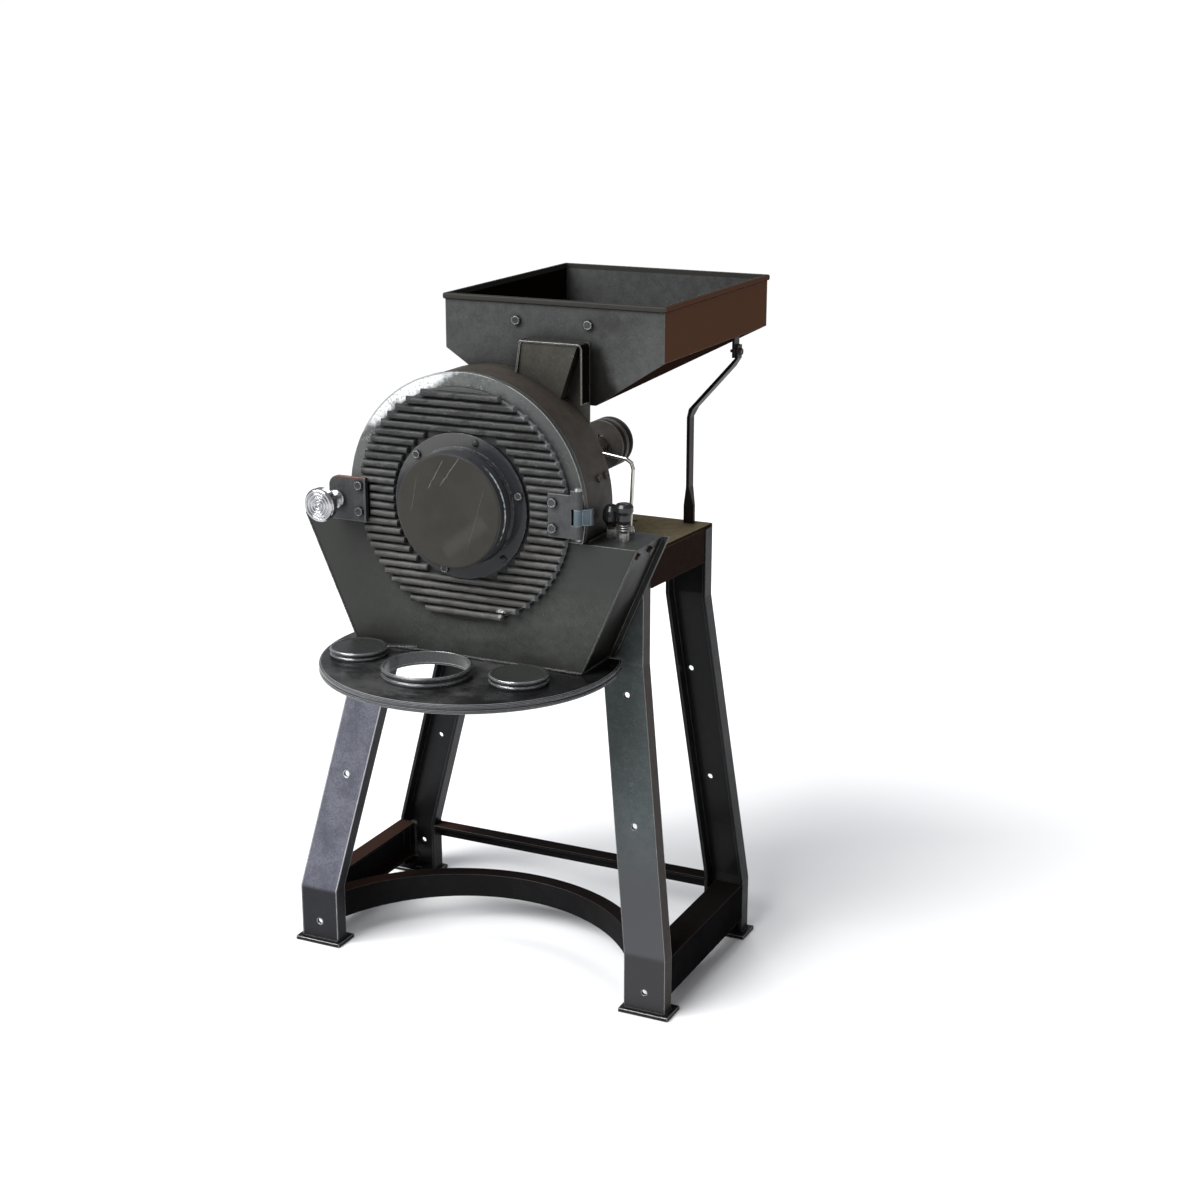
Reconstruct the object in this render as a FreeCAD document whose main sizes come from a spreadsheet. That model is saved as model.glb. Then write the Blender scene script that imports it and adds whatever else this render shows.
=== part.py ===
import FreeCAD, Part
import math
import os
import Sketcher

# A pulverizer: a mill drum with a ribbed door, hung in front of a four legged stand.
# X is to the machine's right, Y goes back, Z goes up; the origin is on the floor,
# in the middle of the four anchor holes. All lengths are in millimetres.

os.makedirs("parts", exist_ok=True)
doc = FreeCAD.newDocument("pulverizer")
sheet = doc.addObject("Spreadsheet::Sheet", "Dims")
rows = []
nodes = []


class Size:
    """A length kept twice: as a number to draw with, and as the formula that drives it."""

    def __init__(self, value, text):
        self.value = value
        self.text = text

    def __add__(self, other):
        other = size(other)
        return Size(self.value + other.value, "(" + self.text + " + " + other.text + ")")

    def __sub__(self, other):
        other = size(other)
        return Size(self.value - other.value, "(" + self.text + " - " + other.text + ")")

    def __mul__(self, other):
        other = size(other)
        return Size(self.value * other.value, "(" + self.text + " * " + other.text + ")")

    def __truediv__(self, other):
        other = size(other)
        return Size(self.value / other.value, "(" + self.text + " / " + other.text + ")")

    def __neg__(self):
        return Size(-self.value, "(0 - " + self.text + ")")

    def __radd__(self, other):
        return size(other) + self

    def __rsub__(self, other):
        return size(other) - self

    def __rmul__(self, other):
        return size(other) * self


def size(thing):
    if isinstance(thing, Size):
        return thing
    return Size(float(thing), repr(float(thing)))


def root(thing):
    thing = size(thing)
    return Size(math.sqrt(thing.value), "sqrt(" + thing.text + ")")


def turned(radius, degrees):
    """The x and y of a point at a fixed angle on a circle."""
    a = math.radians(degrees)
    return radius * round(math.cos(a), 6), radius * round(math.sin(a), 6)


def dim(name, value, note=""):
    """Write one independent size into the sheet and give it back as a Size."""
    row = str(len(rows) + 1)
    rows.append(name)
    sheet.set("A" + row, name)
    sheet.set("B" + row, repr(float(value)))
    sheet.setAlias("B" + row, name)
    sheet.set("C" + row, note)
    return Size(float(value), "Dims." + name)


def let(name, thing, note=""):
    """Write one derived size into the sheet as a formula."""
    row = str(len(rows) + 1)
    rows.append(name)
    sheet.set("A" + row, name)
    sheet.set("B" + row, "=" + thing.text.replace("Dims.", ""))
    sheet.setAlias("B" + row, name)
    sheet.set("C" + row, note)
    return Size(thing.value, "Dims." + name)


def bind(obj, prop, thing):
    """Drive one property of an object by a size."""
    thing = size(thing)
    if "Dims." in thing.text:
        obj.setExpression(prop, thing.text)


def place(obj, x, y, z, axis=None, degrees=0):
    """Set a placement and drive its position by sizes."""
    spot = [size(x), size(y), size(z)]
    turn = FreeCAD.Rotation()
    if axis:
        turn = FreeCAD.Rotation(FreeCAD.Vector(*axis), degrees)
    obj.Placement = FreeCAD.Placement(FreeCAD.Vector(spot[0].value, spot[1].value, spot[2].value), turn)
    for key, thing in zip("xyz", spot):
        bind(obj, "Placement.Base." + key, thing)
    return obj


def keep(obj, label):
    """Name a finished object and put it on the list of pieces."""
    obj.Label = label
    nodes.append(obj)
    return obj


def body(label):
    made = doc.addObject("PartDesign::Body", label)
    made.Label = label
    made.AllowCompound = True
    nodes.append(made)
    return made


def tool_body(label):
    made = doc.addObject("PartDesign::Body", label)
    made.AllowCompound = True
    return made


def sketch(owner, plane, at=0, x0=0, y0=0, name="profile"):
    """A sketch on an origin plane, moved to coordinate at along the plane's world axis."""
    made = owner.newObject("Sketcher::SketchObject", name)
    for feature in owner.Origin.OriginFeatures:
        if feature.Role == plane + "_Plane":
            made.AttachmentSupport = [(feature, "")]
    made.MapMode = "FlatFace"
    away = size(at)
    if plane == "XZ":
        away = -away
    spot = [size(x0), size(y0), away]
    made.AttachmentOffset = FreeCAD.Placement(
        FreeCAD.Vector(spot[0].value, spot[1].value, spot[2].value), FreeCAD.Rotation())
    for key, thing in zip("xyz", spot):
        bind(made, "AttachmentOffset.Base." + key, thing)
    return made


def fix_point(sk, geo, pos, x, y):
    """Hold one point of a sketch at driven coordinates."""
    for kind, axis, thing in (("DistanceX", -2, size(x)), ("DistanceY", -1, size(y))):
        if abs(thing.value) < 1e-9 and "Dims." not in thing.text:
            sk.addConstraint(Sketcher.Constraint("PointOnObject", geo, pos, axis))
            continue
        index = sk.addConstraint(Sketcher.Constraint(kind, -1, 1, geo, pos, thing.value))
        bind(sk, "Constraints[" + str(index) + "]", thing)


def loop(sk, points):
    """A closed polygon through driven points."""
    points = [(size(x), size(y)) for x, y in points]
    first = sk.GeometryCount
    count = len(points)
    lines = []
    for i in range(count):
        a = points[i]
        b = points[(i + 1) % count]
        lines.append(Part.LineSegment(FreeCAD.Vector(a[0].value, a[1].value, 0),
                                      FreeCAD.Vector(b[0].value, b[1].value, 0)))
    sk.addGeometry(lines, False)
    joins = []
    for i in range(count):
        joins.append(Sketcher.Constraint("Coincident", first + i, 2, first + (i + 1) % count, 1))
    sk.addConstraint(joins)
    for i in range(count):
        fix_point(sk, first + i, 1, points[i][0], points[i][1])
    return sk


def box2(sk, x0, y0, x1, y1):
    return loop(sk, [(x0, y0), (x1, y0), (x1, y1), (x0, y1)])


def ring2(sk, x, y, radius):
    """A circle at a driven place with a driven radius."""
    x, y, radius = size(x), size(y), size(radius)
    geo = sk.addGeometry(Part.Circle(FreeCAD.Vector(x.value, y.value, 0),
                                     FreeCAD.Vector(0, 0, 1), radius.value), False)
    index = sk.addConstraint(Sketcher.Constraint("Radius", geo, radius.value))
    bind(sk, "Constraints[" + str(index) + "]", radius)
    fix_point(sk, geo, 3, x, y)
    return sk


def slot2(sk, x, y, half, radius):
    """A slot along the sketch's first axis: two half circles of one radius, half apart."""
    x, y, half, radius = size(x), size(y), size(half), size(radius)
    low = sk.addGeometry(Part.LineSegment(
        FreeCAD.Vector(x.value - half.value, y.value - radius.value, 0),
        FreeCAD.Vector(x.value + half.value, y.value - radius.value, 0)), False)
    right = sk.addGeometry(Part.ArcOfCircle(Part.Circle(
        FreeCAD.Vector(x.value + half.value, y.value, 0), FreeCAD.Vector(0, 0, 1), radius.value),
        -math.pi / 2, math.pi / 2), False)
    high = sk.addGeometry(Part.LineSegment(
        FreeCAD.Vector(x.value + half.value, y.value + radius.value, 0),
        FreeCAD.Vector(x.value - half.value, y.value + radius.value, 0)), False)
    left = sk.addGeometry(Part.ArcOfCircle(Part.Circle(
        FreeCAD.Vector(x.value - half.value, y.value, 0), FreeCAD.Vector(0, 0, 1), radius.value),
        math.pi / 2, math.pi * 1.5), False)
    sk.addConstraint([Sketcher.Constraint("Tangent", low, 2, right, 1),
                      Sketcher.Constraint("Tangent", right, 2, high, 1),
                      Sketcher.Constraint("Tangent", high, 2, left, 1),
                      Sketcher.Constraint("Tangent", left, 2, low, 1)])
    index = sk.addConstraint(Sketcher.Constraint("Radius", right, radius.value))
    bind(sk, "Constraints[" + str(index) + "]", radius)
    fix_point(sk, right, 3, x + half, y)
    index = sk.addConstraint(Sketcher.Constraint("DistanceX", left, 3, -1, 1, half.value - x.value))
    bind(sk, "Constraints[" + str(index) + "]", half - x)
    return sk


def on_xz(sk):
    return "XZ" in sk.AttachmentSupport[0][0].Role


def pad(owner, sk, length):
    """Extrude towards the positive world axis of the sketch's plane."""
    made = owner.newObject("PartDesign::Pad", "pad")
    made.Profile = sk
    made.Length = abs(size(length).value)
    bind(made, "Length", length)
    made.Reversed = on_xz(sk)
    owner.Tip = made
    return made


def pocket(owner, sk, length):
    """Cut towards the positive world axis of the sketch's plane."""
    made = owner.newObject("PartDesign::Pocket", "pocket")
    made.Profile = sk
    made.Length = abs(size(length).value)
    bind(made, "Length", length)
    made.Reversed = not on_xz(sk)
    owner.Tip = made
    return made


def spin(owner, sk, axis, cut=False):
    made = owner.newObject("PartDesign::Groove" if cut else "PartDesign::Revolution", "turn")
    made.Profile = sk
    made.ReferenceAxis = (sk, [axis])
    made.Angle = 360
    owner.Tip = made
    return made


def turned_y(owner, x0, z0, points, cut=False):
    """Turn a (y, radius) outline about an axis along Y through x0, z0."""
    sk = sketch(owner, "YZ", x0, 0, z0, "turning")
    loop(sk, points)
    return spin(owner, sk, "H_Axis", cut)


def turned_z(owner, x0, y0, points, cut=False):
    """Turn a (radius, z) outline about an upright axis through x0, y0."""
    sk = sketch(owner, "XZ", y0, x0, 0, "turning")
    loop(sk, points)
    return spin(owner, sk, "V_Axis", cut)


def edges_where(shape, test):
    """Names of the edges whose middle and ends pass a test."""
    found = []
    for i, edge in enumerate(shape.Edges):
        middle = edge.valueAt((edge.FirstParameter + edge.LastParameter) / 2)
        if test(edge, middle):
            found.append("Edge" + str(i + 1))
    return found


def soften(owner, test, radius, kind="PartDesign::Fillet"):
    """Round or bevel the edges of the body's tip that pass a test."""
    doc.recompute()
    base = owner.Tip
    names = edges_where(base.Shape, test)
    made = owner.newObject(kind, "edge")
    made.Base = (base, names)
    prop = "Radius" if kind.endswith("Fillet") else "Size"
    setattr(made, prop, size(radius).value)
    bind(made, prop, radius)
    owner.Tip = made
    return made


def circular(edge):
    return hasattr(edge.Curve, "Radius")


def part(kind, name, **sizes):
    """A plain Part solid with driven sizes."""
    made = doc.addObject(kind, name)
    for prop, thing in sizes.items():
        setattr(made, prop, size(thing).value)
        bind(made, prop, thing)
    return made


def cylinder(name, radius, height):
    return part("Part::Cylinder", name, Radius=radius, Height=height)


def block(name, x0, y0, z0, dx, dy, dz):
    return place(part("Part::Box", name, Length=dx, Width=dy, Height=dz), x0, y0, z0)


def hexagon(name, flats, height):
    """A hexagonal prism sized across its flats."""
    made = doc.addObject("Part::Prism", name)
    made.Polygon = 6
    made.Circumradius = size(flats).value / math.sqrt(3)
    bind(made, "Circumradius", size(flats) / math.sqrt(3))
    made.Height = size(height).value
    bind(made, "Height", height)
    return made


def joined(name, shapes):
    made = doc.addObject("Part::MultiFuse", name)
    made.Shapes = shapes
    return made


def grouped(name, shapes):
    made = doc.addObject("Part::Compound", name)
    made.Links = shapes
    return made


def less(name, base, tool):
    made = doc.addObject("Part::Cut", name)
    made.Base = base
    made.Tool = tool
    return made


# Which way a fastener's head looks: turn about an axis that brings +Z there.
LOOK = {"front": ((1, 0, 0), 90), "back": ((1, 0, 0), -90), "up": (None, 0),
        "down": ((1, 0, 0), 180), "right": ((0, 1, 0), 90), "left": ((0, 1, 0), -90)}
STEP = {"front": (0, -1, 0), "back": (0, 1, 0), "up": (0, 0, 1), "down": (0, 0, -1),
        "right": (1, 0, 0), "left": (-1, 0, 0)}


def bolt(name, x, y, z, look, flats, head, radius, shank, dome=False):
    """A hex or dome headed bolt: the head's seat is at x, y, z and the shank goes the other way."""
    axis, degrees = LOOK[look]
    if dome:
        top = cylinder(name + "_head", size(flats) / 2, head)
    else:
        top = hexagon(name + "_head", flats, head)
    place(top, x, y, z, axis, degrees)
    stem = cylinder(name + "_shank", radius, size(shank))
    step = STEP[look]
    place(stem, size(x) - size(shank) * step[0], size(y) - size(shank) * step[1],
          size(z) - size(shank) * step[2], axis, degrees)
    return joined(name + "_bolt", [top, stem])


# Main sizes.
front_y = dim("front_y", -178, "front plane of drum ring and body plate")
axis_z = dim("axis_z", 753, "height of the drum axis")
body_depth = dim("body_depth", 96, "front plane to back plane of the body")
plate = dim("plate", 5, "thickness of the body's plates")
skin = dim("skin", 4, "thickness of side walls")
gap = dim("run_gap", 0.3, "clearance between pieces that move on each other")
fit = dim("fit_gap", 0.05, "radial clearance of a turning fit")
back_y = let("back_y", front_y + body_depth)

# Stand.
foot_x = dim("foot_x", 317, "outer face of a leg at the floor")
foot_y = dim("foot_y", 168, "front or back face of a leg at the floor")
top_xf = dim("top_xf", 240, "outer face of a front leg at the table")
top_xr = dim("top_xr", 258, "outer face of the right rear leg at the table")
top_xl = dim("top_xl", 205, "outer face of the left rear leg at the table")
top_yr = dim("top_yr", 134, "back face of a rear leg at the table")
leg_web = dim("leg_web", 66, "width of the leg channel")
leg_lip = dim("leg_lip", 25, "depth of the leg channel")
leg_t = dim("leg_t", 5, "thickness of the leg channel")
knee_low = dim("knee_low", 94, "height of the lower bend")
knee_front = dim("knee_front", 512, "height of a front leg's upper bend")
knee_rear = dim("knee_rear", 570, "height of the right rear leg's upper bend")
knee_left = dim("knee_left", 465, "height of the left rear leg's upper bend")
sole_t = dim("sole_t", 6, "thickness of a foot plate")
sole_x = dim("sole_x", 80, "foot plate along X")
sole_y = dim("sole_y", 46, "foot plate along Y")
sole_over = dim("sole_over", 8, "foot plate beyond the leg")
anchor_r = dim("anchor_r", 5.5, "radius of an anchor hole")
anchor_in = dim("anchor_in", 33, "anchor hole from the leg's outer corner along X")
anchor_back = dim("anchor_back", 25, "anchor hole from the leg's outer face along Y")
table_z = dim("table_z", 683, "top of the table")
table_t = dim("table_t", 5, "thickness of the table top")
apron_h = dim("apron_h", 52, "height of the table aprons")
table_under = let("table_under", table_z - table_t)

# Drum and body.
shell_r = dim("shell_r", 190, "outer radius of the drum shell")
ring_lip = dim("ring_lip", 2, "how far the front ring stands out past the shell")
ring_r = let("ring_r", shell_r + ring_lip, "outer radius of the front ring")
ring_t = dim("ring_t", 10, "thickness of the front ring")
mouth_r = dim("mouth_r", 152, "radius of the chamber mouth")
shell_t = dim("shell_t", 5, "thickness of the drum shell")
ledge_z = dim("ledge_z", 715, "top of the body's side ledges")
body_top_x = dim("body_top_x", 272, "half width of the body at the ledges")
body_low_x = dim("body_low_x", 187, "half width of the body at the disc")
disc_z = dim("disc_z", 521, "top of the disc lid")
disc_r = dim("disc_r", 221, "radius of the disc lid without its bead")
disc_y = dim("disc_y", -166, "centre of the disc lid")
disc_t = dim("disc_t", 3, "thickness of the disc lid")
bead_r = dim("bead_r", 3, "radius of a rolled bead")


def leg(label, side, front):
    """One bent channel leg: four level U sections joined by flat faces."""
    top_x = top_xf if front else top_xr if side > 0 else top_xl
    knee = knee_front if front else knee_rear if side > 0 else knee_left
    y_low = -foot_y if front else size(foot_y)
    y_top = back_y if front else size(top_yr)
    deep = 1 if front else -1
    levels = [(sole_t, foot_x, y_low), (knee_low, foot_x, y_low),
              (knee, top_x, y_top), (table_under, top_x, y_top)]
    made = body(label)
    for low, high in zip(levels[:-1], levels[1:]):
        pair = []
        for z, x, y in (low, high):
            out = side * size(x)
            inn = side * (size(x) - leg_web)
            sk = sketch(made, "XY", z, 0, 0, "section")
            loop(sk, [(inn, y), (out, y), (out, y + deep * leg_lip),
                      (out - side * leg_t, y + deep * leg_lip), (out - side * leg_t, y + deep * leg_t),
                      (inn + side * leg_t, y + deep * leg_t), (inn + side * leg_t, y + deep * leg_lip),
                      (inn, y + deep * leg_lip)])
            pair.append(sk)
        loft = made.newObject("PartDesign::AdditiveLoft", "loft")
        loft.Profile = pair[0]
        loft.Sections = [pair[1]]
        loft.Ruled = True
        made.Tip = loft
    holes = sketch(made, "XZ", -foot_y - 20 if front else size(top_yr) - 40, 0, 0, "web_holes")
    spots = ((218, 468), (249, 280), (284, 36)) if front else ((224, 443), (254, 262), (284, 50))
    if not front and side < 0:
        spots = ((179, 443), (237, 256), (284, 50))
    for x, z in spots:
        ring2(holes, side * x, z, web_hole_r)
    if front:
        ring2(holes, side * leg_bolt_x, leg_bolt_z, ear_bolt_r + slack)
    pocket(made, holes, foot_y)
    return made


def foot_plate(label, side, front):
    """The flat sole under a leg, with its anchor hole."""
    deep = 1 if front else -1
    y = -foot_y if front else size(foot_y)
    made = tool_body(label)
    sk = sketch(made, "XY", 0)
    out = side * (foot_x + sole_over)
    box2(sk, out - side * sole_x, y - deep * sole_over, out, y - deep * sole_over + deep * sole_y)
    ring2(sk, side * (foot_x - anchor_in), y + deep * anchor_back, anchor_r)
    pad(made, sk, sole_t)
    return made


web_hole_r = dim("web_hole_r", 4.5, "hole in a leg's web")
ear_bolt_r = dim("ear_bolt_r", 4, "shank radius of the body's bolts")
slack = dim("bolt_slack", 0.5, "radial clearance round a bolt")
leg_bolt_x = dim("leg_bolt_x", 207, "bolts of the back wall in the legs, from the middle")
leg_bolt_z = dim("leg_bolt_z", 640, "height of the bolts in the legs")
soles = []
for front, word in ((True, "front"), (False, "rear")):
    for side, hand in ((-1, "left"), (1, "right")):
        leg("leg_" + word + "_" + hand, side, front)
        soles.append(foot_plate("foot_" + word + "_" + hand, side, front))
keep(grouped("foot_plates", soles), "foot_plates")

# Table.
slot_x = dim("slot_x", 70, "motor slots from the middle along X")
slot_y0 = dim("slot_y0", 86, "first motor slot row behind the drum back")
slot_dy = dim("slot_dy", 110, "spacing of the motor slot rows")
slot_r = dim("slot_r", 5, "half width of a motor slot")
slot_half = dim("slot_half", 15, "half length of a motor slot between its arc centres")
seat_x = dim("seat_x", 42, "bearing housing bolts from the middle along X")
seat_y0 = dim("seat_y0", 32, "first bearing housing bolt behind the drum back")
seat_dy = dim("seat_dy", 120, "spacing of the bearing housing bolts along Y")
seat_bolt_r = dim("seat_bolt_r", 5, "shank radius of the bearing housing bolts")


def table_edge(y, rear):
    """Half width of the tapered table at a distance behind its front edge."""
    return top_xf + (rear - top_xf) * (size(y) / (top_yr - back_y))


def table_top():
    """Tapered top plate with four slots for a motor and four holes for the bearing housing."""
    made = body("table_top")
    sk = sketch(made, "XY", table_under)
    loop(sk, [(-top_xf, back_y), (top_xf, back_y), (top_xr, top_yr), (-top_xl, top_yr)])
    pad(made, sk, table_t)
    cuts = sketch(made, "XY", table_under, 0, 0, "slots")
    for side in (-1, 1):
        for row in (0, 1):
            slot2(cuts, side * (slot_x + 60), back_y + slot_y0 + row * slot_dy - 20, slot_half, slot_r)
            ring2(cuts, side * seat_x, back_y + seat_y0 + row * seat_dy, seat_bolt_r + slack)
    pocket(made, cuts, table_t)


def aprons():
    """Flat aprons under the table's edges, between the legs."""
    strips = []
    for side, hand, rear in ((-1, "left", top_xl), (1, "right", top_xr)):
        made = tool_body("apron_" + hand)
        strips.append(made)
        sk = sketch(made, "XY", table_under - apron_h)
        near = leg_lip
        far = top_yr - back_y - leg_lip
        x0 = table_edge(near, rear)
        x1 = table_edge(far, rear)
        loop(sk, [(side * x0, back_y + near), (side * x1, back_y + far),
                  (side * (x1 - leg_t), back_y + far), (side * (x0 - leg_t), back_y + near)])
        pad(made, sk, apron_h)
    for word, y, left, right in (("front", back_y, top_xf, top_xf), ("rear", top_yr - leg_t, top_xl, top_xr)):
        made = tool_body("apron_" + word)
        strips.append(made)
        sk = sketch(made, "XY", table_under - apron_h)
        box2(sk, leg_web - left, y, right - leg_web, y + leg_t)
        pad(made, sk, apron_h)
        if word == "front":
            holes = sketch(made, "XZ", y, 0, 0, "holes")
            for side in (-1, 1):
                ring2(holes, side * apron_bolt_x, table_under - apron_h / 2, ear_bolt_r + slack)
            pocket(made, holes, leg_t)
    keep(grouped("table_aprons", strips), "table_aprons")


apron_bolt_x = dim("apron_bolt_x", 152, "bolts of the body's back wall from the middle")
table_top()
aprons()

# Braces.
brace_web = dim("brace_web", 60, "height of a side brace")
brace_top = dim("brace_top", 90, "top of a side brace")
brace_lip = dim("brace_lip", 45, "flanges of the right side brace")
brace_lip_left = dim("brace_lip_left", 28, "flanges of the left side brace")
brace_t = dim("brace_t", 4, "thickness of a brace")
rear_brace_h = dim("rear_brace_h", 26, "side of the rear angle")
hoop_r = dim("hoop_r", 275, "inner radius of the hoop round the bin")
hoop_top = dim("hoop_top", 85, "top of the hoop")
hoop_low = dim("hoop_low", 40, "bottom of the hoop at its ends")
hoop_rise = dim("hoop_rise", 10, "how much higher the hoop's bottom is in the middle")
hoop_lip = dim("hoop_lip", 25, "top flange of the hoop")
hoop_end = let("hoop_end", leg_lip - foot_y, "where the hoop meets the front legs")
hoop_y = let("hoop_y", hoop_end - root(hoop_r * hoop_r - (foot_x - leg_web) * (foot_x - leg_web)), "centre of the hoop")


def braces():
    """Two side channels and one rear angle between the legs."""
    pair = []
    for side, hand, lip in ((-1, "left", brace_lip_left), (1, "right", brace_lip)):
        made = tool_body("brace_" + hand)
        pair.append(made)
        sk = sketch(made, "XZ", -(foot_y - leg_lip))
        low = brace_top - brace_web
        loop(sk, [(side * foot_x, low), (side * foot_x, brace_top), (side * (foot_x - lip), brace_top),
                  (side * (foot_x - lip), brace_top - brace_t), (side * (foot_x - brace_t), brace_top - brace_t),
                  (side * (foot_x - brace_t), low + brace_t), (side * (foot_x - lip), low + brace_t),
                  (side * (foot_x - lip), low)])
        pad(made, sk, 2 * (foot_y - leg_lip))
    keep(grouped("side_braces", pair), "side_braces")
    made = body("rear_brace")
    inner = foot_x - leg_web
    sk = sketch(made, "YZ", -inner)
    y = size(foot_y)
    loop(sk, [(y, brace_top - rear_brace_h), (y, brace_top), (y - rear_brace_h, brace_top),
              (y - rear_brace_h, brace_top - brace_t), (y - brace_t, brace_top - brace_t),
              (y - brace_t, brace_top - rear_brace_h)])
    pad(made, sk, 2 * inner)


def hoop():
    """The curved front brace: an arc of angle bar round the bin, butted on the front legs' inner lips."""
    tool = tool_body("hoop_ring")
    turned_z(tool, 0, hoop_y, [(hoop_r, hoop_low - 8), (hoop_r + brace_t, hoop_low - 8),
                               (hoop_r + brace_t, hoop_top - brace_t), (hoop_r + hoop_lip, hoop_top - brace_t),
                               (hoop_r + hoop_lip, hoop_top), (hoop_r, hoop_top)])
    around = hoop_r + hoop_lip + 30
    front = block("hoop_front", -around, hoop_y - around, hoop_low - 30, 2 * around, hoop_end - hoop_y + around,
                  hoop_top - hoop_low + 60)
    under = tool_body("hoop_under")
    sk = sketch(under, "YZ", -around)
    loop(sk, [(hoop_end - 10, hoop_low - 30), (hoop_y + around, hoop_low - 30), (hoop_y + around, hoop_low + hoop_rise),
              (hoop_end - 10, hoop_low)])
    pad(under, sk, 2 * around)
    keep(less("front_hoop_brace", tool, joined("hoop_cuts", [front, under])), "front_hoop_brace")


braces()
hoop()

# Body: the open bottomed box that holds the drum's lower half.
plunger_x = dim("plunger_x", 233, "spring plunger along X")
plunger_y = dim("plunger_y", 42, "spring plunger behind the front plane")
side_knob_x = dim("side_knob_x", 207, "side knob along X")
side_knob_y = dim("side_knob_y", 56, "side knob behind the front plane")
oiler_x = dim("oiler_x", 222, "bent rod along X")
oiler_y = dim("oiler_y", 86, "bent rod behind the front plane")
stud_r = dim("stud_r", 4, "radius of the studs on the ledge")


def side_at(z):
    """Half width of the tapered body at a height."""
    return body_low_x + (body_top_x - body_low_x) * ((size(z) - disc_z) / (ledge_z - disc_z))


def chute_body():
    """Front plate with the chamber mouth, slanted sides, ledges and a back wall with ears."""
    made = body("chute_body")
    low = [(-body_low_x, disc_z), (body_low_x, disc_z)]
    high = [(body_top_x, ledge_z), (-body_top_x, ledge_z)]
    pad(made, loop(sketch(made, "XZ", front_y), low + high), plate)
    pad(made, loop(sketch(made, "XZ", back_y - plate), low + high), plate)
    for side in (-1, 1):
        sk = sketch(made, "XZ", front_y + plate)
        loop(sk, [(side * body_low_x, disc_z), (side * body_top_x, ledge_z),
                  (side * (body_top_x - skin), ledge_z), (side * (body_low_x - skin), disc_z)])
        pad(made, sk, body_depth - 2 * plate)
        sk = sketch(made, "XZ", front_y + plate)
        edge = root(shell_r * shell_r - (ledge_z - axis_z) * (ledge_z - axis_z))
        box2(sk, side * (edge - shell_t), ledge_z - skin, side * (body_top_x - skin), ledge_z)
        pad(made, sk, body_depth - 2 * plate)
        sk = sketch(made, "XZ", back_y - plate)
        loop(sk, [(side * (body_low_x - plate), disc_z), (side * (body_low_x + flange_w), disc_z),
                  (side * (body_top_x + flange_w), ledge_z), (side * (body_top_x - plate), ledge_z)])
        pad(made, sk, plate)
    mouth = sketch(made, "XZ", front_y, 0, 0, "mouth")
    ring2(mouth, 0, axis_z, mouth_r)
    pocket(made, mouth, plate)
    back = sketch(made, "XZ", back_y - plate, 0, 0, "back_holes")
    for side in (-1, 1):
        ring2(back, side * apron_bolt_x, table_under - apron_h / 2, ear_bolt_r + slack)
        ring2(back, side * leg_bolt_x, leg_bolt_z, ear_bolt_r + slack)
    pocket(made, back, plate)
    studs = sketch(made, "XY", ledge_z - skin, 0, 0, "stud_holes")
    ring2(studs, plunger_x, front_y + plunger_y, stud_r + gap)
    ring2(studs, side_knob_x, front_y + side_knob_y, stud_r + gap)
    pocket(made, studs, skin)


flange_w = dim("flange_w", 9, "rear flange beside the slanted wall")
nose_r = dim("nose_r", 36, "radius of the bearing housing's nose")
hub_bore = let("hub_bore", nose_r + gap)
chute_body()


def drum():
    """Upper half of the drum: front ring, rolled shell and back plate, standing on the ledges."""
    under = block("ring_under", -ring_r - 20, front_y - 20, axis_z - ring_r - 20,
                  2 * ring_r + 40, body_depth + 40, ledge_z - axis_z + ring_r + 20)
    ring = tool_body("ring_full")
    turned_y(ring, 0, axis_z, [(front_y, mouth_r), (front_y, ring_r), (front_y + ring_t, ring_r),
                               (front_y + ring_t, mouth_r)])
    keep(less("drum_front_ring", ring, under), "drum_front_ring")
    shell = tool_body("shell_full")
    y0 = front_y + ring_t
    y1 = back_y - plate
    turned_y(shell, 0, axis_z, [(y0, shell_r - shell_t), (y0, shell_r), (y1, shell_r), (y1, shell_r - shell_t)])
    inlet = sketch(shell, "XY", axis_z, 0, 0, "inlet")
    box2(inlet, inlet_left, neck_front + 3, inlet_right, y1)
    pocket(shell, inlet, shell_r + 10)
    for away in (shell_bolt_y1, shell_bolt_y2):
        hole = sketch(shell, "YZ", 0, 0, 0, "bolt_hole")
        ring2(hole, front_y + away, axis_z + shell_bolt_z, shell_bolt_r + slack * 3)
        pocket(shell, hole, shell_r + 5)
    keep(less("drum_shell", shell, under), "drum_shell")
    back = tool_body("back_full")
    turned_y(back, 0, axis_z, [(y1, hub_bore), (y1, shell_r), (back_y, shell_r), (back_y, hub_bore)])
    holes = sketch(back, "XZ", y1, 0, 0, "holes")
    for side in (-1, 1):
        ring2(holes, neck_x + side * saddle_bolt_x, saddle_bolt_z, ear_bolt_r + slack)
    pocket(back, holes, plate)
    keep(less("drum_back_plate", back, under), "drum_back_plate")


neck_x = dim("neck_x", 93, "middle of the hopper, hood and neck along X")
neck_front = dim("neck_front", -101, "front of the neck at its foot")
inlet_left = dim("inlet_left", 57, "left end of the inlet through the shell")
inlet_right = dim("inlet_right", 112, "right end of the inlet through the shell")
shell_bolt_z = dim("shell_bolt_z", 44, "shell bolts above the axis")
shell_bolt_r = dim("shell_bolt_r", 3, "shank radius of the shell bolts")
shell_bolt_y1 = dim("shell_bolt_y1", 58, "first shell bolt behind the front plane")
shell_bolt_y2 = dim("shell_bolt_y2", 82, "second shell bolt behind the front plane")
saddle_bolt_x = dim("saddle_bolt_x", 30, "saddle bolts from the hopper's middle")
saddle_bolt_down = dim("saddle_bolt_down", 71, "saddle bolts below the top of the drum")
saddle_bolt_z = let("saddle_bolt_z", axis_z + shell_r - saddle_bolt_down, "height of the saddle bolts")
drum()

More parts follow.
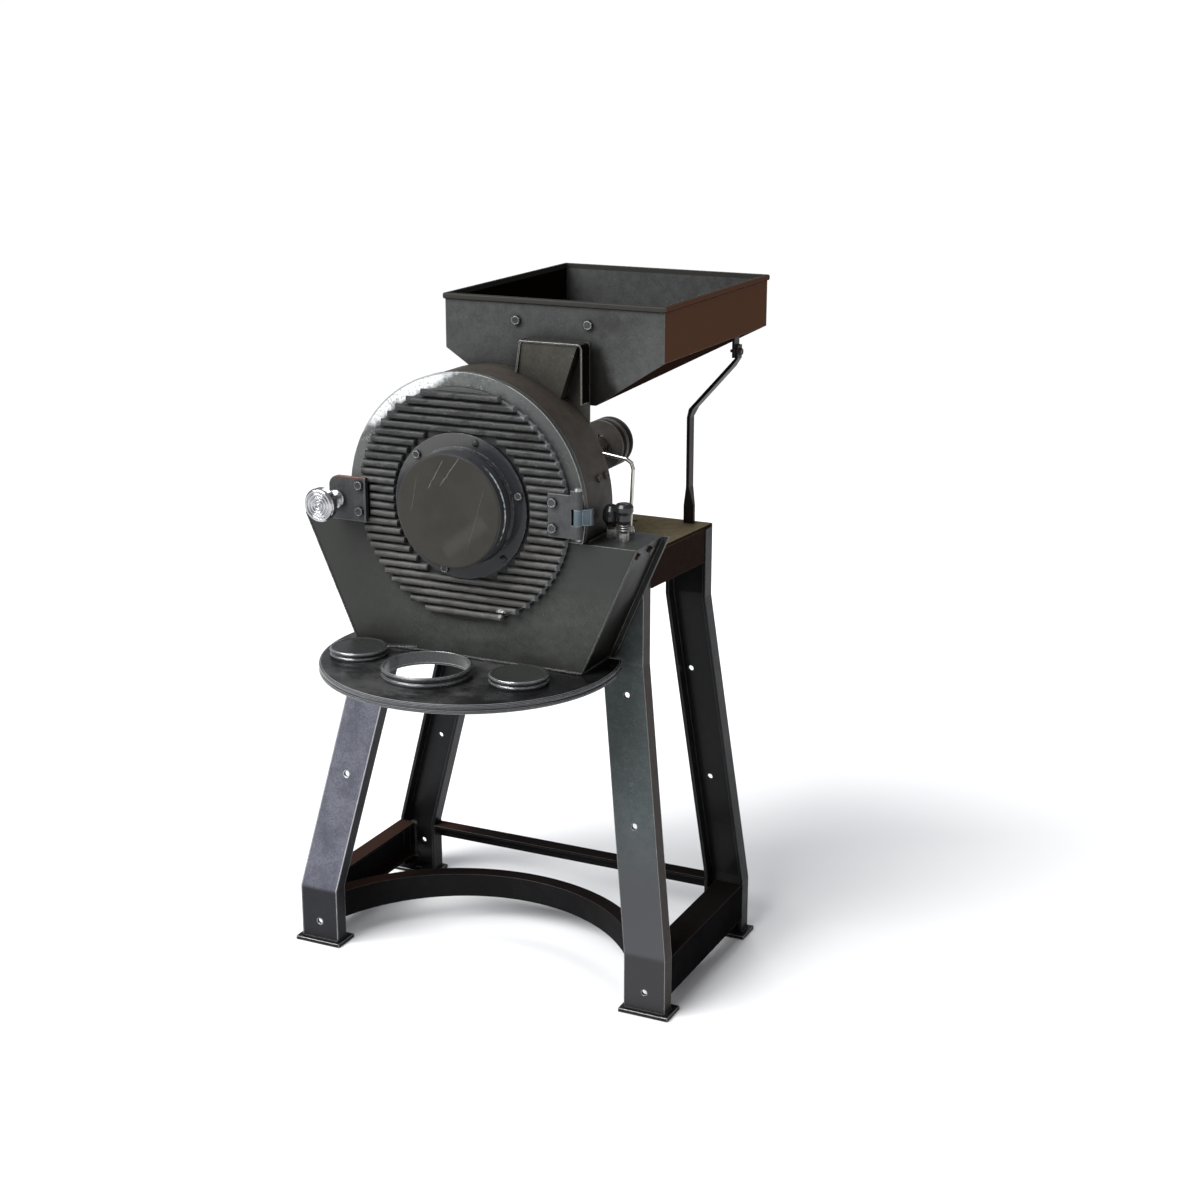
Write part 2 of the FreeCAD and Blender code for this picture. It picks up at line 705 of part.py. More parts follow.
# Grinding chamber and rotor.
liner_in = dim("liner_in", 158, "inner radius of the stator liner at its roots")
tooth_h = dim("tooth_h", 7, "height of a liner tooth")
tooth_w = dim("tooth_w", 9, "width of a liner tooth")
sieve_r = dim("sieve_r", 158, "inner radius of the sieve")
sieve_t = dim("sieve_t", 1.5, "thickness of the sieve")
slit_w = dim("slit_w", 4, "width of a sieve slit")
shaft_r = dim("shaft_r", 17.5, "radius of the shaft in its bearings")
tail_r = dim("tail_r", 15, "radius of the shaft's tail")
hub_r = dim("hub_r", 34, "radius of the rotor hub")
rotor_r = dim("rotor_r", 112, "radius of the rotor disc")
beater_tip = dim("beater_tip", 144, "radius at the beater tips")
beater_t = dim("beater_t", 14, "thickness of a beater")
chamber_front = let("chamber_front", front_y + ring_t + gap)
chamber_back = let("chamber_back", back_y - plate - gap)
pulley_y = dim("pulley_y", 278, "front face of the pulley")
pulley_w = dim("pulley_w", 40, "width of the pulley")
pulley_r = dim("pulley_r", 41, "radius of the pulley")
groove_d = dim("groove_d", 12, "depth of a belt groove")
barrel_r = dim("barrel_r", 46, "radius of the bearing housing")
barrel_l = dim("barrel_l", 168, "length of the bearing housing")
bearing_r = dim("bearing_r", 36, "outer radius of a bearing")
bearing_w = dim("bearing_w", 17, "width of a bearing")
cover_t = dim("cover_t", 8, "thickness of the rear bearing cover")


def spoke(name, inner, outer, y0, y1, thick, degrees):
    """A block that stands out radially from the drum axis at a fixed angle."""
    made = part("Part::Box", name, Length=outer - inner, Width=y1 - y0, Height=thick)
    ux, uz = turned(size(inner), degrees)
    vx, vz = turned(size(thick) / 2, degrees + 90)
    return place(made, ux - vx, y0, axis_z + uz - vz, (0, 1, 0), -degrees)


def chamber():
    """Toothed upper liner, slit lower sieve and the two rails the sieve lies in."""
    ring = tool_body("liner_ring")
    out = shell_r - shell_t - gap
    turned_y(ring, 0, axis_z, [(chamber_front, liner_in), (chamber_front, out), (chamber_back, out),
                               (chamber_back, liner_in)])
    teeth = []
    for degrees in range(8, 180, 12):
        teeth.append(spoke("liner_tooth", liner_in - tooth_h, liner_in + 5, chamber_front, chamber_back,
                           tooth_w, degrees))
    cast = joined("liner_cast", [ring] + teeth)
    low = block("liner_low", -shell_r - 20, front_y - 20, axis_z - shell_r - 20,
                2 * shell_r + 40, body_depth + 40, shell_r + 20)
    way = block("liner_way", inlet_left, neck_front + 3, axis_z, inlet_right - inlet_left, 30, shell_r + 20)
    keep(less("stator_liner", cast, joined("liner_cuts", [low, way])), "stator_liner")

    ring = tool_body("sieve_ring")
    turned_y(ring, 0, axis_z, [(chamber_front, sieve_r), (chamber_front, sieve_r + sieve_t),
                               (chamber_back, sieve_r + sieve_t), (chamber_back, sieve_r)])
    slits = []
    for degrees in range(192, 349, 6):
        for row in (0, 1):
            long = (chamber_back - chamber_front - 24) / 2
            y0 = chamber_front + 8 + row * (long + 8)
            slits.append(spoke("sieve_slit", sieve_r - 3, sieve_r + sieve_t + 3, y0, y0 + long, slit_w, degrees))
    high = block("sieve_high", -sieve_r - 20, front_y - 20, axis_z - gap, 2 * sieve_r + 40,
                 body_depth + 40, sieve_r + 40)
    keep(less("sieve_screen", ring, joined("sieve_cuts", slits + [high])), "sieve_screen")

    rails = tool_body("rails")
    for y0 in (front_y + plate, back_y - plate - rail_w):
        turned_y(rails, 0, axis_z, [(y0, sieve_r + sieve_t + gap), (y0, sieve_r + sieve_t + rail_h),
                                    (y0 + rail_w, sieve_r + sieve_t + rail_h),
                                    (y0 + rail_w, sieve_r + sieve_t + gap)])
    over = block("rails_over", -sieve_r - 60, front_y - 20, ledge_z - skin - 2, 2 * sieve_r + 120,
                 body_depth + 40, sieve_r * 2)
    keep(less("sieve_rails", rails, over), "sieve_rails")


rail_w = dim("rail_w", 14, "width of a sieve rail")
rail_h = dim("rail_h", 8, "height of a sieve rail")
chamber()


def rotor():
    """Stepped shaft, keyed pulley, hub with its disc and six beaters, and the end nuts."""
    y0 = front_y + 7
    made = body("rotor_shaft")
    turned_y(made, 0, axis_z, [(y0, 0), (y0, tail_r), (y0 + nut_t, tail_r), (y0 + nut_t, shaft_r),
                               (back_y + barrel_l + cover_t + 4, shaft_r), (back_y + barrel_l + cover_t + 4, tail_r),
                               (pulley_y + pulley_w + nut_t + 3, tail_r), (pulley_y + pulley_w + nut_t + 3, 0)])
    sk = sketch(made, "XY", axis_z + tail_r - key_sink, 0, 0, "keyway")
    box2(sk, -key_w / 2, pulley_y + 3, key_w / 2, pulley_y + pulley_w - 3)
    pocket(made, sk, key_sink + 2)

    made = body("rotor_hub")
    web = y0 + nut_t + 30
    turned_y(made, 0, axis_z, [(y0 + nut_t, shaft_r + fit), (y0 + nut_t, hub_r), (web, hub_r), (web, rotor_r),
                               (web + disc_w, rotor_r), (web + disc_w, hub_r), (chamber_back - 8, hub_r),
                               (chamber_back - 8, shaft_r + fit)])
    bars = []
    for degrees in range(15, 375, 60):
        bars.append(spoke("beater", rotor_r + fit, beater_tip, chamber_front + 6, chamber_back - 6,
                          beater_t, degrees))
        bars.append(spoke("beater_root", rotor_r - 34, rotor_r + 1, web + disc_w + fit, chamber_back - 6,
                          beater_t, degrees))
    cutter = tool_body("beater_seat")
    turned_y(cutter, 0, axis_z, [(web - fit, 10), (web - fit, rotor_r + fit), (web + disc_w + fit, rotor_r + fit),
                                 (web + disc_w + fit, 10)])
    keep(less("rotor_beaters", joined("beater_bars", bars), cutter), "rotor_beaters")

    nut = place(hexagon("front_nut_hex", 42, nut_t - fit), 0, y0 + nut_t - fit, axis_z, (1, 0, 0), 90)
    bore = place(cylinder("front_nut_bore", tail_r + fit, 60), 0, y0 + 40, axis_z, (1, 0, 0), 90)
    front_nut = less("front_nut", nut, bore)

    made = body("v_pulley")
    p = pulley_y
    w = pulley_w
    deep = pulley_r - groove_d
    outline = [(p, tail_r + fit), (p, pulley_r), (p + w * 0.07, pulley_r), (p + w * 0.17, deep),
               (p + w * 0.3, deep), (p + w * 0.4, pulley_r), (p + w * 0.6, pulley_r), (p + w * 0.7, deep),
               (p + w * 0.83, deep), (p + w * 0.93, pulley_r), (p + w, pulley_r), (p + w, tail_r + fit)]
    turned_y(made, 0, axis_z, outline)
    sk = sketch(made, "XY", axis_z, 0, 0, "keyway")
    box2(sk, -key_w / 2, pulley_y - 1, key_w / 2, pulley_y + pulley_w + 1)
    pocket(made, sk, tail_r + key_h - key_sink)
    made = body("pulley_key")
    sk = sketch(made, "XY", axis_z + tail_r - key_sink)
    box2(sk, -key_w / 2, pulley_y + 3, key_w / 2, pulley_y + pulley_w - 3)
    pad(made, sk, key_h - fit)
    nut = place(hexagon("rear_nut_hex", 42, nut_t), 0, p + w + fit, axis_z, (1, 0, 0), -90)
    bore = place(cylinder("rear_nut_bore", tail_r + fit, 60), 0, p + w - 20, axis_z, (1, 0, 0), -90)
    keep(grouped("shaft_nuts", [front_nut, less("rear_nut", nut, bore)]), "shaft_nuts")


nut_t = dim("nut_t", 12, "thickness of the shaft nuts")
disc_w = dim("rotor_disc_w", 10, "thickness of the rotor disc")
key_w = dim("key_w", 8, "width of the pulley key")
key_h = dim("key_h", 7, "height of the pulley key")
key_sink = dim("key_sink", 4, "depth of the keyway in the shaft")
rotor()


def bearings():
    """Cast bearing housing on the table, two ball bearings as rings, and the rear cover."""
    made = body("bearing_housing")
    y0 = back_y - plate
    y1 = back_y + barrel_l
    sk = sketch(made, "XY", table_z)
    box2(sk, -(seat_x + 18), back_y + seat_y0 - 18, seat_x + 18, back_y + seat_y0 + seat_dy + 18)
    pad(made, sk, sole_h)
    sk = sketch(made, "XY", table_z)
    box2(sk, -24, back_y + seat_y0 - 12, 24, back_y + seat_y0 + seat_dy + 12)
    pad(made, sk, axis_z - table_z - 20)
    turned_y(made, 0, axis_z, [(y0, shaft_r + gap), (y0, nose_r), (back_y, nose_r), (back_y, barrel_r + 16),
                               (back_y + 12, barrel_r + 16), (back_y + 12, barrel_r), (y1, barrel_r),
                               (y1, shaft_r + gap)])
    turned_y(made, 0, axis_z, [(back_y + 12, 0), (back_y + 12, bearing_r), (back_y + 12 + bearing_w, bearing_r),
                               (back_y + 12 + bearing_w, bearing_r - 5), (y1 - bearing_w, bearing_r - 5),
                               (y1 - bearing_w, bearing_r), (y1, bearing_r), (y1, 0)], True)
    holes = sketch(made, "XY", table_z, 0, 0, "holes")
    for side in (-1, 1):
        for row in (0, 1):
            ring2(holes, side * seat_x, back_y + seat_y0 + row * seat_dy, seat_bolt_r + slack)
    pocket(made, holes, sole_h)
    outers = []
    inners = []
    for word, start in (("front", back_y + 12), ("rear", y1 - bearing_w)):
        end = start + bearing_w
        made = tool_body(word + "_outer")
        outers.append(made)
        turned_y(made, 0, axis_z, [(start + fit, bearing_r - 7), (start + fit, bearing_r - fit),
                                   (end - fit, bearing_r - fit), (end - fit, bearing_r - 7)])
        made = tool_body(word + "_inner")
        inners.append(made)
        turned_y(made, 0, axis_z, [(start + fit, shaft_r + fit), (start + fit, shaft_r + 6),
                                   (end - fit, shaft_r + 6), (end - fit, shaft_r + fit)])
    keep(grouped("bearing_outer_rings", outers), "bearing_outer_rings")
    keep(grouped("bearing_inner_rings", inners), "bearing_inner_rings")
    made = body("bearing_cover")
    turned_y(made, 0, axis_z, [(y1, shaft_r + gap), (y1, barrel_r), (y1 + cover_t, barrel_r),
                               (y1 + cover_t, shaft_r + gap)])
    seats = []
    for side in (-1, 1):
        for row in (0, 1):
            seats.append(bolt("seat", side * seat_x, back_y + seat_y0 + row * seat_dy, table_z + sole_h, "up",
                              16, 7, seat_bolt_r, sole_h + table_t + 8))
    keep(grouped("housing_bolts", seats), "housing_bolts")


sole_h = dim("sole_h", 14, "thickness of the bearing housing's sole")
bearings()

# Door, its cap, latch and hinge.
door_r = dim("door_r", 173, "radius of the door")
door_base = dim("door_base", 6, "thickness of the door under its ribs")
rib_h = dim("rib_h", 7, "height of a door rib")
rib_pitch = dim("rib_pitch", 12.3, "spacing of the door ribs")
rib_top = dim("rib_top", 5, "width of a rib at its top")
rib_foot = dim("rib_foot", 8.5, "width of a rib at its foot")
cap_r = dim("cap_r", 84, "radius of the cap")
cap_h = dim("cap_h", 36, "cap face in front of the ribs")
cap_flange = dim("cap_flange", 107, "radius of the cap flange")
cap_wall = dim("cap_wall", 5, "wall of the cap")
screw_pcr = dim("screw_pcr", 98.5, "radius of the cap screw circle")
screw_r = dim("screw_r", 3, "shank radius of a cap screw")
cap_open = dim("cap_open", 66, "radius of the opening behind the cap")
door_back = let("door_back", front_y - gap)
door_mid = let("door_mid", door_back - door_base)
door_face = let("door_face", door_mid - rib_h)
lug_t = dim("lug_t", 5, "thickness of the latch and hinge plates")
latch_out = dim("latch_out", 26, "how far the latch plate reaches past the ring")
latch_x0 = let("latch_x0", ring_r + latch_out, "latch plate's far edge left of the axis")
latch_x1 = dim("latch_x1", 155, "latch plate's near edge left of the axis")
latch_z0 = dim("latch_z0", 714, "bottom of the latch plate")
latch_z1 = dim("latch_z1", 780, "top of the latch plate")
latch_bolt_x = dim("latch_bolt_x", 166, "latch bolts left of the axis")
latch_bolt_z = dim("latch_bolt_z", 749, "middle of the latch bolts")
latch_bolt_d = dim("latch_bolt_d", 19.5, "latch bolts from their middle")
knob_x = dim("knob_x", 205, "hand knob left of the axis")
knob_z = dim("knob_z", 745, "height of the hand knob")
knob_r = dim("knob_r", 25, "radius of the hand knob")
hinge_x = dim("hinge_x", 189, "hinge axis right of the drum axis")
hinge_out = dim("hinge_out", 2, "hinge axis in front of the door's face")
hinge_z = dim("hinge_z", 757, "middle of the hinge plate")
hinge_h = dim("hinge_h", 62, "height of the hinge plate")
hinge_x0 = dim("hinge_x0", 143, "near edge of the hinge plate")
hinge_bolt_x = dim("hinge_bolt_x", 151, "hinge bolts right of the axis")
hinge_bolt_d = dim("hinge_bolt_d", 18.5, "hinge bolts from their middle")
knuckle_r = dim("knuckle_r", 6.5, "radius of a hinge knuckle")
pin_r = dim("pin_r", 4, "radius of the hinge pin")
mid_half = dim("mid_half", 11.3, "half height of the middle knuckle")
hinge_y = let("hinge_y", door_face - hinge_out)


def door():
    """Cast disc with level ribs, a flat seat for the cap and pads for the latch and hinge."""
    made = body("door")
    turned_y(made, 0, axis_z, [(door_back, cap_open), (door_back, door_r), (door_face, door_r),
                               (door_face, cap_open)])
    half = (rib_pitch - rib_top) / 2
    foot = (rib_pitch - rib_foot) / 2
    low = axis_z - 13.5 * rib_pitch
    valley = sketch(made, "YZ", -door_r - 10, 0, 0, "valley")
    loop(valley, [(door_face - 1, low - half), (door_mid, low - foot), (door_mid, low + foot),
                  (door_face - 1, low + half)])
    cut = pocket(made, valley, 2 * door_r + 20)
    comb = made.newObject("PartDesign::LinearPattern", "ribs")
    comb.Originals = [cut]
    comb.Direction = (valley, ["V_Axis"])
    comb.Length = rib_pitch.value * 27
    bind(comb, "Length", rib_pitch * 27)
    comb.Occurrences = 28
    made.Tip = comb
    turned_y(made, 0, axis_z, [(door_face - 1, 0), (door_face - 1, cap_flange + 2), (door_mid, cap_flange + 2),
                               (door_mid, 0)], True)
    for x0, x1, z0, z1 in ((-latch_x1 - 20, -latch_x1 - 2, latch_z0 + 4, latch_z1 - 4),
                           (hinge_x0 + 1, hinge_x0 + 27, hinge_z - hinge_h / 2 + 2, hinge_z + hinge_h / 2 - 2)):
        sk = sketch(made, "XZ", door_face)
        box2(sk, x0, z0, x1, z1)
        pad(made, sk, door_back - door_face)
    holes = sketch(made, "XZ", door_face - 1, 0, 0, "holes")
    for step in (-1, 1):
        ring2(holes, -latch_bolt_x, latch_bolt_z + step * latch_bolt_d, ear_bolt_r + slack / 5)
        ring2(holes, hinge_bolt_x, hinge_z + step * hinge_bolt_d, ear_bolt_r + slack / 5)
    for i in range(6):
        x, z = turned(screw_pcr, 14.4 + 60 * i)
        ring2(holes, x, axis_z + z, screw_r + slack / 5)
    pocket(made, holes, door_base + rib_h + 2)
    return made


def door_cap():
    """Deep round cap with a screwed flange and rounded edges."""
    made = body("door_cap")
    face = door_face - cap_h
    turned_y(made, 0, axis_z, [(door_mid, cap_r - cap_wall - 1), (door_mid, cap_flange), (door_face, cap_flange),
                               (door_face, cap_r + 3), (door_face - 4, cap_r), (face, cap_r), (face, 0),
                               (face + cap_wall, 0), (face + cap_wall, cap_r - cap_wall - 1)])
    holes = sketch(made, "XZ", door_face - 1, 0, 0, "holes")
    for i in range(6):
        x, z = turned(screw_pcr, 14.4 + 60 * i)
        ring2(holes, x, axis_z + z, screw_r + slack / 5)
    pocket(made, holes, rib_h + 2)
    soften(made, lambda e, m: circular(e) and abs(e.Curve.Radius - cap_r.value) < 0.01
           and abs(m.y - face.value) < 0.01, 4)
    screws = []
    for i in range(6):
        x, z = turned(screw_pcr, 14.4 + 60 * i)
        screws.append(bolt("cap_screw", x, door_face, axis_z + z, "front", 11, 4.5, screw_r,
                           rib_h + door_base - 1, i % 2 == 1))
    keep(grouped("cap_screws", screws), "cap_screws")


door_bolts = []


def latch():
    """Plate bolted on the door, a hand knob with a stud, and the lug the stud enters."""
    made = body("latch_plate")
    sk = sketch(made, "XZ", door_face - lug_t)
    box2(sk, -latch_x0, latch_z0, -latch_x1, latch_z1)
    ring2(sk, -knob_x, knob_z, 5 + gap)
    for step in (-1, 1):
        ring2(sk, -latch_bolt_x, latch_bolt_z + step * latch_bolt_d, ear_bolt_r + slack / 5)
    pad(made, sk, lug_t)
    sk = sketch(made, "XZ", door_face - lug_t - 2)
    box2(sk, -latch_x1 - 3, latch_z0, -latch_x1, latch_z1)
    pad(made, sk, 2)
    soften(made, lambda e, m: abs(m.x + latch_x0.value) < 0.01 and abs(m.z - latch_z1.value) < 0.01, 16)
    soften(made, lambda e, m: abs(m.x + latch_x0.value) < 0.01 and abs(m.z - latch_z0.value) < 0.01, 6)
    made = body("latch_lug")
    sk = sketch(made, "XZ", front_y)
    box2(sk, -latch_x0 - 3, ledge_z, -ring_r - 1.5, knob_z + 18)
    pad(made, sk, lug_depth)
    hole = sketch(made, "XZ", front_y, 0, 0, "stud_hole")
    ring2(hole, -knob_x, knob_z, 6.5)
    pocket(made, hole, lug_depth)
    made = body("latch_knob")
    y = door_face - lug_t
    face = y - knob_out
    outline = [(front_y + 8, 0), (front_y + 8, 5), (y - gap, 5), (y - gap, 14), (y - 4, 15), (y - 7, 13.5),
               (y - 9, 8.5), (face + 24, 8.5), (face + 20, 11), (face + 17, knob_r - 2), (face + 13, knob_r),
               (face + 4, knob_r), (face + 1.5, knob_r - 1.5)]
    for i in range(4):
        outer = knob_r - 3 - 5 * i
        outline += [(face, outer), (face, outer - 2), (face + 1.5, outer - 2.8), (face + 1.5, outer - 4.2)]
    outline += [(face, 1.5), (face, 0)]
    turned_y(made, -knob_x, knob_z, outline)
    for step in (-1, 1):
        door_bolts.append(bolt("latch_bolt", -latch_bolt_x, door_face - lug_t,
                               latch_bolt_z + step * latch_bolt_d, "front", 13, 5.3, ear_bolt_r,
                               lug_t + door_base + rib_h - 1))


lug_depth = dim("lug_depth", 12, "depth of the latch lug")
knob_out = dim("knob_out", 52, "knob face in front of the latch plate")


def hinge():
    """Door plate with two knuckles, casing leaf with the middle knuckle, and the pin."""
    top = hinge_z + hinge_h / 2
    low = hinge_z - hinge_h / 2
    plate_half = body("hinge_plate")
    sk = sketch(plate_half, "XZ", door_face - lug_t)
    box2(sk, hinge_x0, low, hinge_x - knuckle_r - 3, top)
    for step in (-1, 1):
        ring2(sk, hinge_bolt_x, hinge_z + step * hinge_bolt_d, ear_bolt_r + slack / 5)
    pad(plate_half, sk, lug_t)
    for z0, z1 in ((low, hinge_z - mid_half - gap * 2), (hinge_z + mid_half + gap * 2, top + 7)):
        sk = sketch(plate_half, "XY", z0)
        loop(sk, [(hinge_x - knuckle_r - 4, door_face - lug_t), (hinge_x, hinge_y - knuckle_r + 1),
                  (hinge_x, door_face), (hinge_x - knuckle_r - 4, door_face)])
        pad(plate_half, sk, z1 - z0)
        sk = sketch(plate_half, "XY", z0)
        ring2(sk, hinge_x, hinge_y, knuckle_r)
        pad(plate_half, sk, z1 - z0)
    hole = sketch(plate_half, "XY", low - 5, 0, 0, "pin_hole")
    ring2(hole, hinge_x, hinge_y, pin_r + fit)
    pocket(plate_half, hole, top - low + 20)
    leaf = body("hinge_leaf")
    sk = sketch(leaf, "XY", hinge_z - mid_half)
    ring2(sk, hinge_x, hinge_y, knuckle_r)
    pad(leaf, sk, 2 * mid_half)
    sk = sketch(leaf, "XY", hinge_z - mid_half)
    loop(sk, [(hinge_x - 2, hinge_y + 1), (hinge_x + knuckle_r, hinge_y + 1), (hinge_x + 16, front_y - 7),
              (hinge_x + 16, front_y), (hinge_x - 7, front_y), (hinge_x - 7, front_y - 5),
              (hinge_x - 2, front_y - 7)])
    pad(leaf, sk, 2 * mid_half)
    hole = sketch(leaf, "XY", hinge_z - mid_half - 1, 0, 0, "pin_hole")
    ring2(hole, hinge_x, hinge_y, pin_r + fit)
    pocket(leaf, hole, 2 * mid_half + 2)
    pin = body("hinge_pin")
    turned_z(pin, hinge_x, hinge_y, [(0, low - 3), (pin_r, low - 3), (pin_r, top + 7 + fit),
                                     (knuckle_r - 0.5, top + 7 + fit), (knuckle_r - 1.5, top + 11), (0, top + 11)])
    for step in (-1, 1):
        door_bolts.append(bolt("hinge_bolt", hinge_bolt_x, door_face - lug_t, hinge_z + step * hinge_bolt_d,
                               "front", 13, 5.3, ear_bolt_r, lug_t + door_base + rib_h - 1))
    keep(grouped("door_bolts", door_bolts), "door_bolts")


door()
door_cap()
latch()
hinge()

# Disc lid with its vents.
vent_x = dim("vent_x", -12, "open vent collar along X")
vent_y = dim("vent_y", -276, "open vent collar along Y")
vent_r = dim("vent_r", 62, "inner radius of the open vent collar")
vent_h = dim("vent_h", 17, "height of the open vent collar")
left_x = dim("left_x", -153, "left vent along X")
left_y = dim("left_y", -231, "left vent along Y")
right_x = dim("right_x", 119.5, "right vent along X")
right_y = dim("right_y", -244, "right vent along Y")
small_r = dim("small_r", 35, "inner radius of a small vent")
lid_r = dim("lid_r", 41.5, "radius of a vent cap without its bead")
lid_h = dim("lid_h", 13, "height of a vent cap")
sheet_t = dim("sheet_t", 1.6, "thickness of collar and cap sheet")
rim_h = dim("rim_h", 14, "height of the disc's rim")
notch_x = dim("notch_x", 172, "disc notch for the legs from the middle")


def bead(radius, z, b):
    """Outline points of a rolled bead that stands out from a wall."""
    return [(radius, z - b), (radius + b * 0.75, z - b * 0.7), (radius + b, z), (radius + b * 0.75, z + b * 0.7),
            (radius, z + b)]


def disc_lid():
    """Thin disc with a double bead rim, three vent holes, the flour opening and two leg notches."""
    made = body("flour_lid")
    low = disc_z - rim_h
    outline = [(0, disc_z - disc_t), (disc_r - disc_t, disc_z - disc_t), (disc_r - disc_t, low), (disc_r, low)]
    outline += bead(disc_r, low + bead_r + 0.5, bead_r) + bead(disc_r, disc_z - bead_r - 0.5, bead_r)
    outline += [(disc_r, disc_z), (0, disc_z)]
    turned_z(made, 0, disc_y, outline)
    cuts = sketch(made, "XY", low - 1, 0, 0, "openings")
    ring2(cuts, vent_x, vent_y, vent_r)
    ring2(cuts, left_x, left_y, small_r - 1)
    ring2(cuts, right_x, right_y, small_r - 1)
    box2(cuts, -body_low_x + 22, front_y + 12, body_low_x - 22, back_y - 17)
    for side in (-1, 1):
        box2(cuts, side * notch_x, back_y - 8, side * (disc_r + 20), disc_y + disc_r)
    pocket(made, cuts, rim_h + 2)


def collar(label, x, y, radius, height, beads):
    """An upright sheet collar on the disc, with one or two rolled beads."""
    made = tool_body(label)
    out = radius + sheet_t
    outline = [(radius, disc_z), (out, disc_z)]
    if beads:
        outline += bead(out, disc_z + 5, 2.6) + bead(out, disc_z + height - 3.2, 2.6)
    outline += [(out, disc_z + height), (radius, disc_z + height)]
    turned_z(made, x, y, outline)
    return made


def vent_cap(label, x, y, tab):
    """A shallow sheet cap with two beads over a small collar."""
    made = body(label)
    z0 = disc_z + gap
    z1 = disc_z + lid_h
    inner = lid_r - sheet_t
    outline = [(inner, z0), (lid_r, z0)] + bead(lid_r, z0 + 2.8, 2) + bead(lid_r, z1 - 2.6, 2)
    outline += [(lid_r, z1), (lid_r - 3, z1 + 1), (lid_r - 6, z1), (0, z1), (0, z1 - sheet_t), (inner, z1 - sheet_t)]
    turned_z(made, x, y, outline)
    if tab:
        sk = sketch(made, "XY", z1 - sheet_t)
        loop(sk, [(x + lid_r - 4, y + 16), (x + lid_r + 36, y + 34), (x + lid_r + 32, y + 43), (x + lid_r - 8, y + 25)])
        pad(made, sk, sheet_t)


disc_lid()
keep(collar("open_collar", vent_x, vent_y, vent_r, vent_h, True), "vent_collar_open")
keep(grouped("small_vent_collars", [collar("left_collar", left_x, left_y, small_r, lid_h - 3, False),
                                    collar("right_collar", right_x, right_y, small_r, lid_h - 3, False)]),
     "small_vent_collars")
vent_cap("vent_cap_left", left_x, left_y, True)
vent_cap("vent_cap_right", right_x, right_y, False)

# Hopper, hood, neck and feed gate.
hop_half = dim("hop_half", 175, "half width of the hopper")
hop_back = dim("hop_back", 320, "back wall of the hopper")
hop_seat = dim("hop_seat", 50, "how far the hopper's front wall hangs below the top of the drum")
hop_fall = dim("hop_fall", 68, "height of the hopper's sloping floor")
hop_wall = dim("hop_wall", 80, "height of the hopper's side walls")
hop_low = let("hop_low", axis_z + shell_r - hop_seat, "bottom of the hopper's front wall")
hop_side = let("hop_side", hop_low + hop_fall, "where the hopper's side walls end")
hop_rim = let("hop_rim", hop_side + hop_wall, "rim of the hopper")
hop_out = dim("hop_out", 69, "half width of the hopper's outlet end")
hop_t = dim("hop_t", 2.5, "thickness of the hopper sheet")
rim_w = dim("rim_w", 3.5, "how far the hopper's rim bead stands out")
rim_d = dim("rim_d", 9, "height of the hopper's rim bead")
saddle_t = dim("saddle_t", 3, "thickness of the saddle plate")
saddle_drop = dim("saddle_drop", 35, "how far the saddle plate hangs below the hopper")
saddle_low = let("saddle_low", hop_low - saddle_drop, "bottom of the saddle plate")
hood_left = dim("hood_left", 53.5, "left end of the hood's top")
hood_right = dim("hood_right", 153, "right side of the hood")
hood_skew = dim("hood_skew", 13, "how far the hood's left side stands out at its foot")
hood_rise = dim("hood_rise", 23, "how far the hood rises past the sloping floor")
hood_top = let("hood_top", hop_side + hood_rise, "top of the hood")
hood_foot = dim("hood_foot", 5, "bottom of the hood above the hopper's lowest edge")
hood_low = let("hood_low", hop_low + hood_foot, "bottom of the hood")
hood_deep = dim("hood_deep", 25, "depth of the hood")
window_sill = dim("window_sill", 8, "feed window's sill above the hopper's lowest edge")
window_tall = dim("window_tall", 49, "height of the feed window")
window_low = let("window_low", hop_low + window_sill, "bottom of the feed window")
window_high = let("window_high", window_low + window_tall, "top of the feed window")
gate_bolt_x = dim("gate_bolt_x", 57.5, "gate bolts from the hopper's middle")
gate_bolt_down = dim("gate_bolt_down", 33, "gate bolts below the rim")
gate_bolt_z = let("gate_bolt_z", hop_rim - gate_bolt_down, "height of the gate bolts")
gate_half = dim("gate_half", 64, "half width of the feed gate")
gate_t = dim("gate_t", 2, "thickness of the feed gate")
gate_lift = dim("gate_lift", 48, "travel of the feed gate")
hop_front = let("hop_front", back_y + saddle_t)


